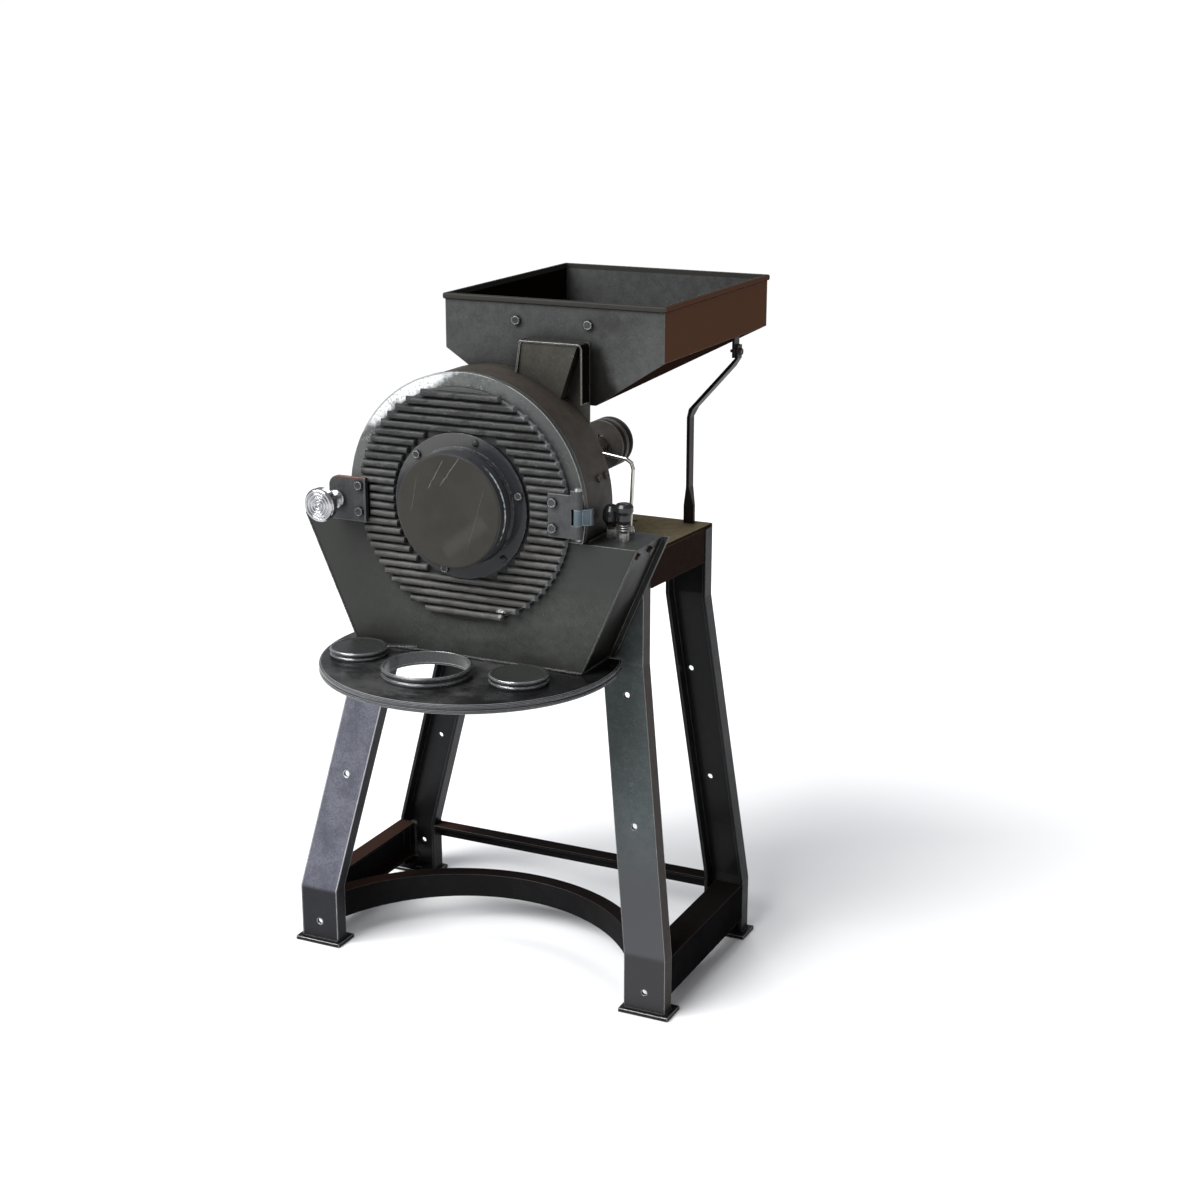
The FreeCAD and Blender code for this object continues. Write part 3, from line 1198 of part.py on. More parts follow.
def hopper():
    """Folded sheet hopper with a flat front wall, sloping floor and a rolled rim."""
    made = body("hopper_tray")
    tool = tool_body("hopper_inside")
    for owner, t, high in ((made, size(0), hop_rim), (tool, hop_t, hop_rim + 10)):
        side = sketch(owner, "XZ", hop_front + t, 0, 0, "across")
        half = hop_half - t
        slope = hop_side + t * 0.55
        low = hop_low + t
        out = hop_out - t * 0.3
        loop(side, [(neck_x - half, high), (neck_x - half, slope), (neck_x - out, low), (neck_x + out, low),
                    (neck_x + half, slope), (neck_x + half, high)])
        pad(owner, side, hop_back - hop_front - 2 * t)
        floor = sketch(owner, "YZ", neck_x - hop_half - 5, 0, 0, "along")
        loop(floor, [(hop_front, hop_low + t * 1.015), (hop_back, hop_side + t * 1.015),
                     (hop_back + 10, hop_side), (hop_back + 10, hop_low - 20), (hop_front, hop_low - 20)])
        pocket(owner, floor, 2 * hop_half + 10)
    hollow = made.newObject("PartDesign::Boolean", "hollow")
    hollow.Type = "Cut"
    hollow.setObjects([tool])
    made.Tip = hollow
    rim = sketch(made, "XY", hop_rim - rim_d)
    box2(rim, neck_x - hop_half - rim_w, hop_front - rim_w, neck_x + hop_half + rim_w, hop_back + rim_w)
    box2(rim, neck_x - hop_half + hop_t, hop_front + hop_t, neck_x + hop_half - hop_t, hop_back - hop_t)
    pad(made, rim, rim_d)
    holes = sketch(made, "XZ", hop_front - 1, 0, 0, "window")
    box2(holes, inlet_left + 1, window_low, inlet_right - 1, window_high)
    for step in (-1, 1):
        ring2(holes, neck_x + step * gate_bolt_x, gate_bolt_z, ear_bolt_r + slack)
    pocket(made, holes, hop_t + 2)

    def rim_edge(edge, m):
        outside = (abs(m.x - neck_x.value) > hop_half.value + rim_w.value - 0.1
                   or m.y < hop_front.value - rim_w.value + 0.1 or m.y > hop_back.value + rim_w.value - 0.1)
        return outside and m.z > hop_rim.value - rim_d.value - 0.1
    soften(made, rim_edge, rim_w * 0.85)


body_bolts = []
small_bolts = []


def hood_and_neck():
    """Saddle plate, bent hood over the feed window, and the leaning neck down to the drum."""
    made = body("hopper_saddle")
    sk = sketch(made, "XZ", back_y)
    lean = hood_skew / (hood_top - hood_low)
    loop(sk, [(hood_left - lean * (hood_top - saddle_low), saddle_low), (hood_left, hood_top),
              (hood_right, hood_top), (hood_right, saddle_low)])
    box2(sk, inlet_left, window_low - 1, inlet_right, window_high + 1)
    for step in (-1, 1):
        ring2(sk, neck_x + step * saddle_bolt_x, saddle_bolt_z, ear_bolt_r + slack)
    pad(made, sk, saddle_t)

    made = body("hopper_hood")
    sk = sketch(made, "XZ", back_y - hood_deep)
    foot_left = hood_left - hood_skew
    loop(sk, [(foot_left, hood_low), (hood_left, hood_top), (hood_right, hood_top), (hood_right, hood_low),
              (hood_right - hop_t, hood_low), (hood_right - hop_t, hood_top - hop_t),
              (hood_left + hop_t, hood_top - hop_t), (foot_left + hop_t, hood_low)])
    pad(made, sk, hood_deep)
    soften(made, lambda e, m: abs(m.z - hood_top.value) < 0.01 and abs(m.x - hood_right.value) < 0.01, hood_round)
    soften(made, lambda e, m: abs(m.z - hood_top.value + hop_t.value) < 0.01
           and abs(m.x - hood_right.value + hop_t.value) < 0.01, hood_round - hop_t)
    turned_y(made, 0, axis_z, [(back_y - hood_deep - 10, 0), (back_y - hood_deep - 10, shell_r + gap / 3),
                               (back_y + 10, shell_r + gap / 3), (back_y + 10, 0)], True)

    made = body("inlet_neck")
    inside = tool_body("neck_inside")
    foot = axis_z + shell_r / 2
    top = hood_top - hop_t - gap
    side_lean = hood_skew / (hood_top - hop_t - hood_low)
    for owner, t, lid in ((made, size(0), size(0)), (inside, hop_t, hop_t)):
        pair = []
        for z, reach, front in ((foot - t, neck_foot, neck_front), (top - lid, neck_reach, neck_front - neck_lean)):
            left = hood_left + hop_t + gap - side_lean * (hood_top - hop_t - z) + t
            sk = sketch(owner, "XY", z, 0, 0, "section")
            box2(sk, left, front + t, reach - t, back_y + t)
            pair.append(sk)
        loft = owner.newObject("PartDesign::AdditiveLoft", "loft")
        loft.Profile = pair[0]
        loft.Sections = [pair[1]]
        loft.Ruled = True
        owner.Tip = loft
    hollow = made.newObject("PartDesign::Boolean", "hollow")
    hollow.Type = "Cut"
    hollow.setObjects([inside])
    made.Tip = hollow
    turned_y(made, 0, axis_z, [(neck_front - 20, 0), (neck_front - 20, shell_r + gap / 3),
                               (back_y + 10, shell_r + gap / 3), (back_y + 10, 0)], True)
    for step in (-1, 1):
        body_bolts.append(bolt("saddle_bolt", neck_x + step * saddle_bolt_x, back_y + saddle_t, saddle_bolt_z,
                               "back", 13, 5.3, ear_bolt_r, saddle_t + plate))


def feed_gate():
    """Sliding gate behind the front wall, held by two bolts in its slots."""
    made = body("feed_gate")
    sk = sketch(made, "XZ", hop_front + hop_t + gap)
    low = window_low - 1
    box2(sk, neck_x - gate_half, low, neck_x + gate_half, gate_bolt_z + 12)
    pad(made, sk, gate_t)
    slots = sketch(made, "XZ", hop_front, 0, 0, "slots")
    for step in (-1, 1):
        x = neck_x + step * gate_bolt_x
        box2(slots, x - ear_bolt_r - gap, gate_bolt_z - gate_lift - ear_bolt_r - gap, x + ear_bolt_r + gap,
             gate_bolt_z + ear_bolt_r + gap)
    pocket(made, slots, 20)
    grip = sketch(made, "XZ", hop_front + hop_t + gap)
    box2(grip, neck_x - 18, gate_bolt_z + 4, neck_x + 18, gate_bolt_z + 8)
    pad(made, grip, 14)
    bolts = []
    for step in (-1, 1):
        x = neck_x + step * gate_bolt_x
        bolts.append(bolt("gate_bolt", x, hop_front, gate_bolt_z, "front", 13, 5.3, ear_bolt_r,
                          hop_t + gate_t + 2 * gap + 8))
        nut = place(hexagon("gate_nut", 13, 6.5), x, hop_front + hop_t + gate_t + 2 * gap, gate_bolt_z,
                    (1, 0, 0), -90)
        bolts.append(nut)
    keep(joined("gate_bolts", bolts), "gate_bolts")


hood_round = dim("hood_round", 8, "radius of the hood's right corner")
neck_reach = dim("neck_reach", 144.5, "right side of the inlet neck at its top")
neck_foot = dim("neck_foot", 96, "right side of the inlet neck at its foot")
neck_lean = dim("neck_lean", 4, "how far the neck's front leans forward")
strut_x = dim("strut_x", 226, "strut foot along X")
strut_foot_y = dim("strut_foot_y", 118, "strut foot along Y")
strut_y = dim("strut_y", 200, "strut top along Y")
strut_w = dim("strut_w", 17, "width of the strut bar")
strut_t = dim("strut_t", 5, "thickness of the strut bar")
lug_in = dim("lug_in", 1.5, "outer face of the hopper's lug in from the side wall")
eye_down = dim("eye_down", 23, "strut's top bolt below the hopper's side walls")
eye_z = let("eye_z", hop_side - eye_down, "height of the strut's top bolt")
strut_slant = dim("strut_slant", 82, "height of the strut's slanted part")
strut_bend = let("strut_bend", eye_z - strut_slant, "height of the strut's bend")


def strut():
    """Flat bar from the table to the hopper: foot, quarter twist, upright and slanted top with an eye."""
    made = body("hopper_strut")
    wide = (strut_w / 2, strut_t / 2)
    slim = (strut_t / 2, strut_w / 2)
    lug_out = neck_x + hop_half - lug_in
    top_x = lug_out + strut_t / 2
    slant = (strut_t * 0.65, strut_w * 0.74)
    rise = eye_z - 12 - strut_bend
    along_x = (top_x - strut_x) / rise
    along_y = (strut_y - strut_foot_y) / rise
    near = (strut_bend + 5, strut_x + along_x * 5, strut_foot_y + along_y * 5, slant)
    away = (eye_z - 22, top_x - along_x * 10, strut_y - along_y * 10, slant)
    levels = [(table_z, strut_x, strut_foot_y, wide), (table_z + 28, strut_x, strut_foot_y, wide),
              (table_z + 58, strut_x, strut_foot_y, slim), (strut_bend - 8, strut_x, strut_foot_y, slim), near, away,
              (eye_z - 10, top_x, strut_y, slim), (eye_z + 10, top_x, strut_y, slim)]
    for low, high in zip(levels[:-1], levels[1:]):
        pair = []
        for z, x, y, half in (low, high):
            sk = sketch(made, "XY", z, 0, 0, "section")
            box2(sk, x - half[0], y - half[1], x + half[0], y + half[1])
            pair.append(sk)
        loft = made.newObject("PartDesign::AdditiveLoft", "loft")
        loft.Profile = pair[0]
        loft.Sections = [pair[1]]
        loft.Ruled = True
        made.Tip = loft
    hole = sketch(made, "YZ", top_x - strut_t, 0, 0, "eye")
    ring2(hole, strut_y, eye_z, screw_r + slack)
    pocket(made, hole, strut_t * 2)
    made = body("hopper_lug")
    sk = sketch(made, "XZ", strut_y - 10)
    climb = (hop_side - hop_low) / (hop_half - hop_out)
    loop(sk, [(lug_out - skin, eye_z - 9), (lug_out, eye_z - 9), (lug_out, hop_side - climb * lug_in),
              (lug_out - skin, hop_side - climb * (lug_in + skin))])
    pad(made, sk, 20)
    hole = sketch(made, "YZ", lug_out - skin - 1, 0, 0, "eye")
    ring2(hole, strut_y, eye_z, screw_r + slack)
    pocket(made, hole, skin + 2)
    small_bolts.append(bolt("eye_bolt", lug_out + strut_t, strut_y, eye_z, "right", 10, 4, screw_r,
                            skin + strut_t + 6))


hopper()
hood_and_neck()
feed_gate()
strut()

# What stands on the right ledge.
spring_wire = dim("spring_wire", 1.2, "wire radius of the plunger spring")
spring_in = dim("spring_in", 5.2, "radius of the spring's coil line")
plunger_nut_h = dim("plunger_nut_h", 12, "height of the plunger's guide nut")
spring_h = dim("spring_h", 13, "height of the plunger spring")
grip_r = dim("grip_r", 13.5, "radius of the plunger's grip")
grip_h = dim("grip_h", 30, "height of the plunger's grip")
rod_r = dim("rod_r", 2.8, "radius of the bent rod")


def ledge_fittings():
    """Spring plunger, turning side knob and the bent rod."""
    x = plunger_x
    y = front_y + plunger_y
    z = ledge_z + plunger_nut_h
    nut = place(hexagon("guide_hex", 14, plunger_nut_h), x, y, ledge_z)
    bore = place(cylinder("guide_bore", stud_r + gap, plunger_nut_h + 20), x, y, ledge_z - 10)
    guide = less("guide_nut", nut, bore)
    made = body("plunger_spring")
    sk = sketch(made, "XZ", y, x, 0, "wire")
    ring2(sk, spring_in + stud_r / 4, z + spring_wire, spring_wire)
    coil = made.newObject("PartDesign::AdditiveHelix", "coil")
    coil.Profile = sk
    coil.ReferenceAxis = (sk, ["V_Axis"])
    coil.Mode = "pitch-turns-angle"
    coil.Pitch = 3.4
    coil.Turns = 3
    bind(coil, "Pitch", (spring_h - 2 * spring_wire - gap) / 3)
    made.Tip = coil
    made = body("plunger_knob")
    k = z + spring_h
    turned_z(made, x, y, [(0, ledge_z - 14), (stud_r, ledge_z - 14), (stud_r, k), (grip_r * 0.62, k),
                          (grip_r * 0.78, k + 5), (grip_r * 0.82, k + grip_h * 0.45), (grip_r, k + grip_h * 0.62),
                          (grip_r, k + grip_h * 0.82), (grip_r * 0.8, k + grip_h * 0.96), (grip_r * 0.5, k + grip_h),
                          (0, k + grip_h)])
    made = body("plunger_stop")
    turned_z(made, x, y, [(stud_r + fit, ledge_z - skin - 5 - gap), (stud_r + 4, ledge_z - skin - 5 - gap),
                          (stud_r + 4, ledge_z - skin - gap), (stud_r + fit, ledge_z - skin - gap)])
    x = side_knob_x
    y = front_y + side_knob_y
    made = body("side_knob")
    k = ledge_z + 16
    turned_z(made, x, y, [(0, ledge_z - 14), (stud_r, ledge_z - 14), (stud_r, k), (7, k), (8.5, k + 4),
                          (12.2, k + 9), (13, k + 15), (12, k + 23), (8, k + 30), (3, k + 32), (0, k + 32)])
    nut = place(hexagon("side_hex", 14, plunger_nut_h), x, y, ledge_z)
    bore = place(cylinder("side_bore", stud_r + gap, plunger_nut_h + 20), x, y, ledge_z - 10)
    keep(grouped("ledge_nuts", [guide, less("side_nut", nut, bore)]), "ledge_nuts")
    y = front_y + oiler_y
    made = body("bent_rod")
    sk = sketch(made, "XZ", y, 0, 0, "path")
    end_z = axis_z + shell_r * 0.38
    spots = [(oiler_x, ledge_z), (oiler_x + 5, end_z - 16), (oiler_x + 2, end_z - 7), (oiler_x - 6, end_z - 2),
             (shell_r - 10, end_z + 3)]
    spots = [(size(a), size(b)) for a, b in spots]
    for i, (a, b) in enumerate(zip(spots[:-1], spots[1:])):
        sk.addGeometry(Part.LineSegment(FreeCAD.Vector(a[0].value, a[1].value, 0),
                                        FreeCAD.Vector(b[0].value, b[1].value, 0)), False)
        if i:
            sk.addConstraint(Sketcher.Constraint("Coincident", i - 1, 2, i, 1))
        fix_point(sk, i, 1, a[0], a[1])
    fix_point(sk, 3, 2, spots[4][0], spots[4][1])
    wire = sketch(made, "XY", ledge_z, 0, 0, "wire")
    ring2(wire, oiler_x, y, rod_r)
    pipe = made.newObject("PartDesign::AdditivePipe", "pipe")
    pipe.Profile = wire
    pipe.Spine = sk
    pipe.Transition = "Round corner"
    made.Tip = pipe
    made = body("rod_ferrule")
    turned_z(made, oiler_x, y, [(rod_r + 1, ledge_z), (7, ledge_z), (7, ledge_z + 4), (5.5, ledge_z + 10),
                                (rod_r + 1, ledge_z + 10)])


ledge_fittings()

# Fasteners of the body and shell.
wall_tilt = math.degrees(math.atan2(85, 194))
LOOK["wall_right"] = ((0, 1, 0), 90 + wall_tilt)
LOOK["wall_left"] = ((0, 1, 0), -90 - wall_tilt)
STEP["wall_right"] = (round(math.cos(math.radians(wall_tilt)), 5), 0, -round(math.sin(math.radians(wall_tilt)), 5))
STEP["wall_left"] = (-STEP["wall_right"][0], 0, STEP["wall_right"][2])
LOOK["shell_out"] = ((0, 1, 0), 76.6)
STEP["shell_out"] = (0.97278, 0, 0.23175)
side_bolt_z = dim("side_bolt_z", 703, "height of the side wall bolts")


def fasteners():
    """Bolts from behind through apron and legs, and short bolts in the slanted walls and the shell."""
    for side in (-1, 1):
        body_bolts.append(bolt("apron_bolt", side * apron_bolt_x, back_y + leg_t, table_under - apron_h / 2,
                               "back", 13, 5.3, ear_bolt_r, leg_t + plate + 6))
        body_bolts.append(bolt("leg_bolt", side * leg_bolt_x, back_y + leg_t, leg_bolt_z, "back",
                               13, 5.3, ear_bolt_r, leg_t + plate + 6))
    keep(grouped("body_bolts", body_bolts), "body_bolts")
    for side, look in ((-1, "wall_left"), (1, "wall_right")):
        for away in (13, 56):
            x = side * (side_at(side_bolt_z) + 0.4)
            small_bolts.append(bolt("wall_bolt", x, front_y + away, side_bolt_z, look, 10, 4, screw_r, 0.3))
    for away in (shell_bolt_y1, shell_bolt_y2):
        x = root(shell_r * shell_r - shell_bolt_z * shell_bolt_z) + 0.35
        small_bolts.append(bolt("shell_bolt", x, front_y + away, axis_z + shell_bolt_z, "shell_out", 10, 4,
                                shell_bolt_r, shell_t + 0.2))
    keep(grouped("small_bolts", small_bolts), "small_bolts")


fasteners()


doc.recompute()
wrong = []
for thing in doc.Objects:
    if "Invalid" in thing.State or "Error" in thing.State:
        wrong.append(thing.Label + " " + str(thing.State))
for node in nodes:
    if node.Shape.isNull() or not node.Shape.isValid():
        wrong.append(node.Label + " has no valid shape")
    else:
        node.Shape.exportStep("parts/" + node.Label + ".step")
if wrong:
    raise RuntimeError("; ".join(wrong))
print(len(nodes), "pieces")
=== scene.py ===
import math
import random

import bpy
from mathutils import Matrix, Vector


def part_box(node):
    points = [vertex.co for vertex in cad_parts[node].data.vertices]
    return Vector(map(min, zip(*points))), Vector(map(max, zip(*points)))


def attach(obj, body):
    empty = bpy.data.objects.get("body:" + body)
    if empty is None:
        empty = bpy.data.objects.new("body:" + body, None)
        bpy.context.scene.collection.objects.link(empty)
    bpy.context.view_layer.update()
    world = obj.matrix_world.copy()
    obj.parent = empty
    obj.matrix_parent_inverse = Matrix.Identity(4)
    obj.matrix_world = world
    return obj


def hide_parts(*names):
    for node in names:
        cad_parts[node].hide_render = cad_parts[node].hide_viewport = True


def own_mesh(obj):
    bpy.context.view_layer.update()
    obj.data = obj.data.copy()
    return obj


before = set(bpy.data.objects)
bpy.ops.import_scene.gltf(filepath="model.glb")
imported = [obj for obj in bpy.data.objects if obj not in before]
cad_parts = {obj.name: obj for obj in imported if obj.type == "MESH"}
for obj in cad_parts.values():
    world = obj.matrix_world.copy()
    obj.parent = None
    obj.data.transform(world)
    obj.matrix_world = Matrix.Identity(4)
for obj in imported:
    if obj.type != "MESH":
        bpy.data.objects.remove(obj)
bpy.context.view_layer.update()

# The machine stands on a pale floor and is seen from its right front, a little from above.
# The camera's place, turn and lens were fitted to the photograph together with the sizes.
camera = bpy.data.objects.new("camera", bpy.data.cameras.new("camera"))
bpy.context.scene.collection.objects.link(camera)
camera.location = (1.3893, -2.6589, 1.4377)
camera.rotation_euler = (math.radians(74), 0, math.radians(25.6))
camera.data.lens = 61.75
camera.data.clip_end = 120
bpy.context.scene.camera = camera
bpy.context.scene.view_settings.view_transform = "Standard"


# A plain pale floor, far wider than the machine, under soft studio light: a broad key lamp
# from the left front, a weaker warm one from the right, one from above behind, a pale room.
class Tone:
    """A value inside a finish; arithmetic on it adds the nodes that work it out."""

    def __init__(self, finish, socket):
        self.finish = finish
        self.socket = socket

    def combine(self, operation, *values):
        return self.finish.node("ShaderNodeMath", {"operation": operation}, *values)

    def __add__(self, other):
        return self.combine("ADD", self, other)

    def __radd__(self, other):
        return self.combine("ADD", other, self)

    def __sub__(self, other):
        return self.combine("SUBTRACT", self, other)

    def __rsub__(self, other):
        return self.combine("SUBTRACT", other, self)

    def __mul__(self, other):
        return self.combine("MULTIPLY", self, other)

    def __rmul__(self, other):
        return self.combine("MULTIPLY", other, self)

    def __truediv__(self, other):
        return self.combine("DIVIDE", self, other)

    def __abs__(self):
        return self.combine("ABSOLUTE", self)

    def root(self):
        return self.combine("SQRT", self)


class Finish:
    """One procedural finish: a shader, and what varies it over the surface."""

    def __init__(self, name, **fixed):
        self.material = bpy.data.materials.new(name)
        self.material.use_nodes = True
        self.tree = self.material.node_tree
        self.shader = self.tree.nodes["Principled BSDF"]
        for socket, value in fixed.items():
            self.join(value, self.shader.inputs[socket.replace("_", " ")])

    def join(self, value, socket):
        if isinstance(value, Tone):
            self.tree.links.new(value.socket, socket)
        else:
            socket.default_value = value

    def node(self, kind, settings, *values, output=0, **named):
        made = self.tree.nodes.new(kind)
        for setting, value in settings.items():
            setattr(made, setting, value)
        for place, value in enumerate(values):
            self.join(value, made.inputs[place])
        for socket, value in named.items():
            self.join(value, made.inputs[socket.replace("_", " ")])
        return Tone(self, made.outputs[output])

    def place(self):
        return self.node("ShaderNodeTexCoord", {}, output="Object")

    def along(self, axis):
        return self.node("ShaderNodeSeparateXYZ", {}, self.place(), output=axis)

    def facing(self, axis):
        normal = self.node("ShaderNodeTexCoord", {}, output="Normal")
        return self.node("ShaderNodeSeparateXYZ", {}, normal, output=axis)

    def stretched(self, x, y, z):
        return self.node("ShaderNodeMapping", {}, self.place(), Scale=(x, y, z))

    def noise(self, scale, detail=4.0, rough=0.55, where=None):
        return self.node("ShaderNodeTexNoise", {}, Vector=where or self.place(), Scale=scale,
                         Detail=detail, Roughness=rough)

    def step(self, value, low, high):
        return self.node("ShaderNodeMapRange", {"interpolation_type": "SMOOTHSTEP"},
                         value, low, high, 0.0, 1.0)

    def opaque(self, value):
        return (*value, 1.0) if isinstance(value, tuple) else value

    def layered(self, lower, upper, mask):
        mixed = self.node("ShaderNodeMix", {"data_type": "RGBA", "clamp_factor": True}, mask, output=2)
        for colour_place, colour in ((6, lower), (7, upper)):
            self.join(self.opaque(colour), mixed.socket.node.inputs[colour_place])
        return mixed

    def rounding(self, radius):
        return self.node("ShaderNodeBevel", {"samples": 4}, radius)

    def edges(self, rounded):
        flat = self.node("ShaderNodeNewGeometry", {}, output="Normal")
        along = self.node("ShaderNodeVectorMath", {"operation": "DOT_PRODUCT"}, rounded, flat,
                          output="Value")
        return self.step(1 - along, 0.008, 0.12)

    def hollows(self, reach):
        open_share = self.node("ShaderNodeAmbientOcclusion", {"samples": 4, "only_local": False},
                               Distance=reach, output="AO")
        return 1 - self.step(open_share, 0.25, 0.95)

    def relief(self, height, depth, rounded):
        return self.node("ShaderNodeBump", {}, Height=height, Distance=depth, Strength=1.0, Normal=rounded)

    def shade(self, **sockets):
        for socket, value in sockets.items():
            self.join(self.opaque(value), self.shader.inputs[socket.replace("_", " ")])


floor_mesh = bpy.data.meshes.new("floor")
floor_mesh.from_pydata([(-60, -60, 0), (60, -60, 0), (60, 60, 0), (-60, 60, 0)], [], [(0, 1, 2, 3)])
floor = bpy.data.objects.new("floor", floor_mesh)
bpy.context.scene.collection.objects.link(floor)
pale = Finish("pale_floor", Roughness=1.0)
pale.shade(Base_Color=(0.88, 0.88, 0.88), Specular_IOR_Level=0.0)
floor_mesh.materials.append(pale.material)

for lamp_name, place, target, side, watts, tint in (
        ("key_lamp", (-2.3, -2.1, 2.3), (0.0, -0.1, 0.65), 1.1, 42, (0.98, 0.99, 1.0)),
        ("warm_lamp", (2.8, -0.9, 1.3), (0.1, 0.0, 0.7), 1.6, 6, (1.0, 0.84, 0.70)),
        ("rear_lamp", (-0.6, 2.2, 2.7), (0.0, 0.0, 0.7), 1.4, 34, (0.95, 0.97, 1.0))):
    lamp = bpy.data.objects.new(lamp_name, bpy.data.lights.new(lamp_name, "AREA"))
    bpy.context.scene.collection.objects.link(lamp)
    lamp.data.size = side
    lamp.data.energy = watts
    lamp.data.color = tint
    lamp.location = place
    lamp.rotation_euler = (Vector(place) - Vector(target)).to_track_quat("Z", "Y").to_euler()

sun = bpy.data.objects.new("soft_sun", bpy.data.lights.new("soft_sun", "SUN"))
bpy.context.scene.collection.objects.link(sun)
sun.data.energy = 3.85
sun.data.angle = math.radians(40)
sun.rotation_euler = (math.radians(38), math.radians(-22), 0)

room = bpy.data.worlds.new("room")
bpy.context.scene.world = room
room.use_nodes = True
room_nodes = room.node_tree.nodes
room_light = room_nodes["Background"]
seen_room = room_nodes.new("ShaderNodeBackground")
seen_room.inputs["Color"].default_value = (1.0, 1.0, 1.0, 1)
room_light.inputs["Color"].default_value = (0.25, 0.26, 0.28, 1)
ray = room_nodes.new("ShaderNodeLightPath")
chosen = room_nodes.new("ShaderNodeMixShader")
room.node_tree.links.new(ray.outputs["Is Camera Ray"], chosen.inputs[0])
room.node_tree.links.new(room_light.outputs[0], chosen.inputs[1])
room.node_tree.links.new(seen_room.outputs[0], chosen.inputs[2])
room.node_tree.links.new(chosen.outputs[0], room_nodes["World Output"].inputs["Surface"])


# Four legs of bent channel, each with a flat sole plate welded under it. The left front leg
# is painted in silver hammertone, the right front one grey green, the rear ones near black.
def coat(finish, slot, *names):
    """Puts a finish on CAD pieces whose shape is already right."""
    for name in names:
        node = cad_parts[name]
        node.data.materials.clear()
        node.data.materials.append(finish.material)


def worn_paint(name, paint, patches, bare, wear=0.7, rough=0.42, peel=0.00012, round_off=0.0014,
               sheen=0.12, side_shade=None, coats=None):
    """Brushed or sprayed paint on steel: cloudy patches, painted shade in hollows, chips and bare edges.
    """
    made = Finish(name)
    hollow_shade = (0.008, 0.007, 0.006)
    clouds = made.noise(7.0, 5.0)
    patch = made.noise(38.0, 7.0, 0.62)
    grain = made.noise(620.0, 3.0, 0.6)
    speck = made.noise(330.0, 4.0, 0.7)
    mottle = made.noise(75.0, 7.0, 0.7)
    rounded = made.rounding(round_off)
    worn = made.step(made.edges(rounded) * 0.8 + made.noise(210.0, 5.0, 0.7) * 0.5, 0.62, 0.86) * wear
    chips = made.step(made.noise(150.0, 7.0, 0.72), 0.70, 0.73) * (wear * 0.5)
    bare_share = worn + chips
    darker = tuple(share * 0.45 for share in patches)
    lighter = tuple(share * 1.9 for share in paint)
    colour = made.layered(paint, patches, made.step(clouds + patch * 0.5, 0.55, 0.95))
    colour = made.layered(colour, lighter, made.step(clouds * 0.9 + mottle * 0.35, 0.55, 0.90) * 0.40)
    colour = made.layered(colour, darker,
                          made.step(mottle * 0.5 + clouds * 0.5 + speck * 0.5, 0.80, 0.60) * 0.32)
    colour = made.layered(colour, lighter, made.step(speck + mottle * 0.2, 0.70, 0.84) * 0.7)
    # Painted shade: faces that look right (+X) take the darker side colour.
    if side_shade:
        colour = made.layered(colour, side_shade, made.step(made.facing("X"), 0.35, 0.7))
    if coats:
        colour = coats(made, colour)
    # Painted shade: darkened where ambient occlusion finds hollows.
    colour = made.layered(colour, hollow_shade, made.hollows(0.035) * 0.75)
    colour = made.layered(colour, bare, bare_share)
    made.shade(Base_Color=colour, Metallic=bare_share * 0.6,
               Roughness=rough + (patch - 0.5) * 0.3 + (grain - 0.5) * 0.1,
               Coat_Weight=made.step(made.facing("Y") * -1.0, 0.5, 0.9) * 0.12, Coat_Roughness=0.22,
               Specular_IOR_Level=sheen,
               Normal=made.relief(grain * 0.6 + speck * 0.9 + patch * 1.5, peel, rounded))
    return made


hammertone = Finish("silver_hammertone")
dimples = hammertone.node("ShaderNodeTexVoronoi", {"feature": "SMOOTH_F1"}, Vector=hammertone.place(),
                          Scale=420.0, Smoothness=0.6)
silver_patch = hammertone.noise(24.0, 7.0, 0.66)
silver_speck = hammertone.noise(330.0, 5.0, 0.7)
silver_round = hammertone.rounding(0.0042)
silver_edge = hammertone.step(hammertone.edges(silver_round) * 0.8 + silver_speck * 0.4, 0.35, 0.75)
silver = hammertone.layered((0.120, 0.123, 0.150), (0.068, 0.071, 0.090),
                            hammertone.step(silver_patch, 0.38, 0.66))
silver = hammertone.layered(silver, (0.25, 0.26, 0.30),
                            hammertone.step(silver_speck + silver_patch * 0.5, 0.86, 1.05) * 0.7)
silver = hammertone.layered(silver, (0.05, 0.05, 0.062), hammertone.step(dimples, 0.35, 0.75) * 0.5)
# Painted shade: the leg is made near black below its knee.
shade_below_knee = 1 - hammertone.step(hammertone.along("Z"), 0.088, 0.0975)
silver = hammertone.layered(silver, (0.011, 0.011, 0.0135), shade_below_knee * 0.95)
sideways = hammertone.facing("X")
# Painted shade: faces that look right are made near black.
silver = hammertone.layered(silver, (0.010, 0.010, 0.012), hammertone.step(sideways, 0.45, 0.75))
# Painted shade in hollows, from ambient occlusion.
silver = hammertone.layered(silver, (0.02, 0.018, 0.016), hammertone.hollows(0.03) * 0.6)
# Worn bare edges, made brighter as a painted highlight along the rounded bends, weaker on faces that look
# right.
silver_wear_and_highlight = silver_edge * (1 - hammertone.step(sideways, 0.2, 0.6) * 0.6) * (1 - shade_below_knee * 0.45)
silver = hammertone.layered(silver, (0.90, 0.91, 0.94), silver_wear_and_highlight * 0.85)
hammertone.shade(Base_Color=silver, Metallic=0.15 + silver_wear_and_highlight * 0.45,
                 Roughness=0.40 + silver_patch * 0.2, Specular_IOR_Level=0.2,
                 Normal=hammertone.relief(dimples * 0.7 + silver_patch, 0.0003, silver_round))


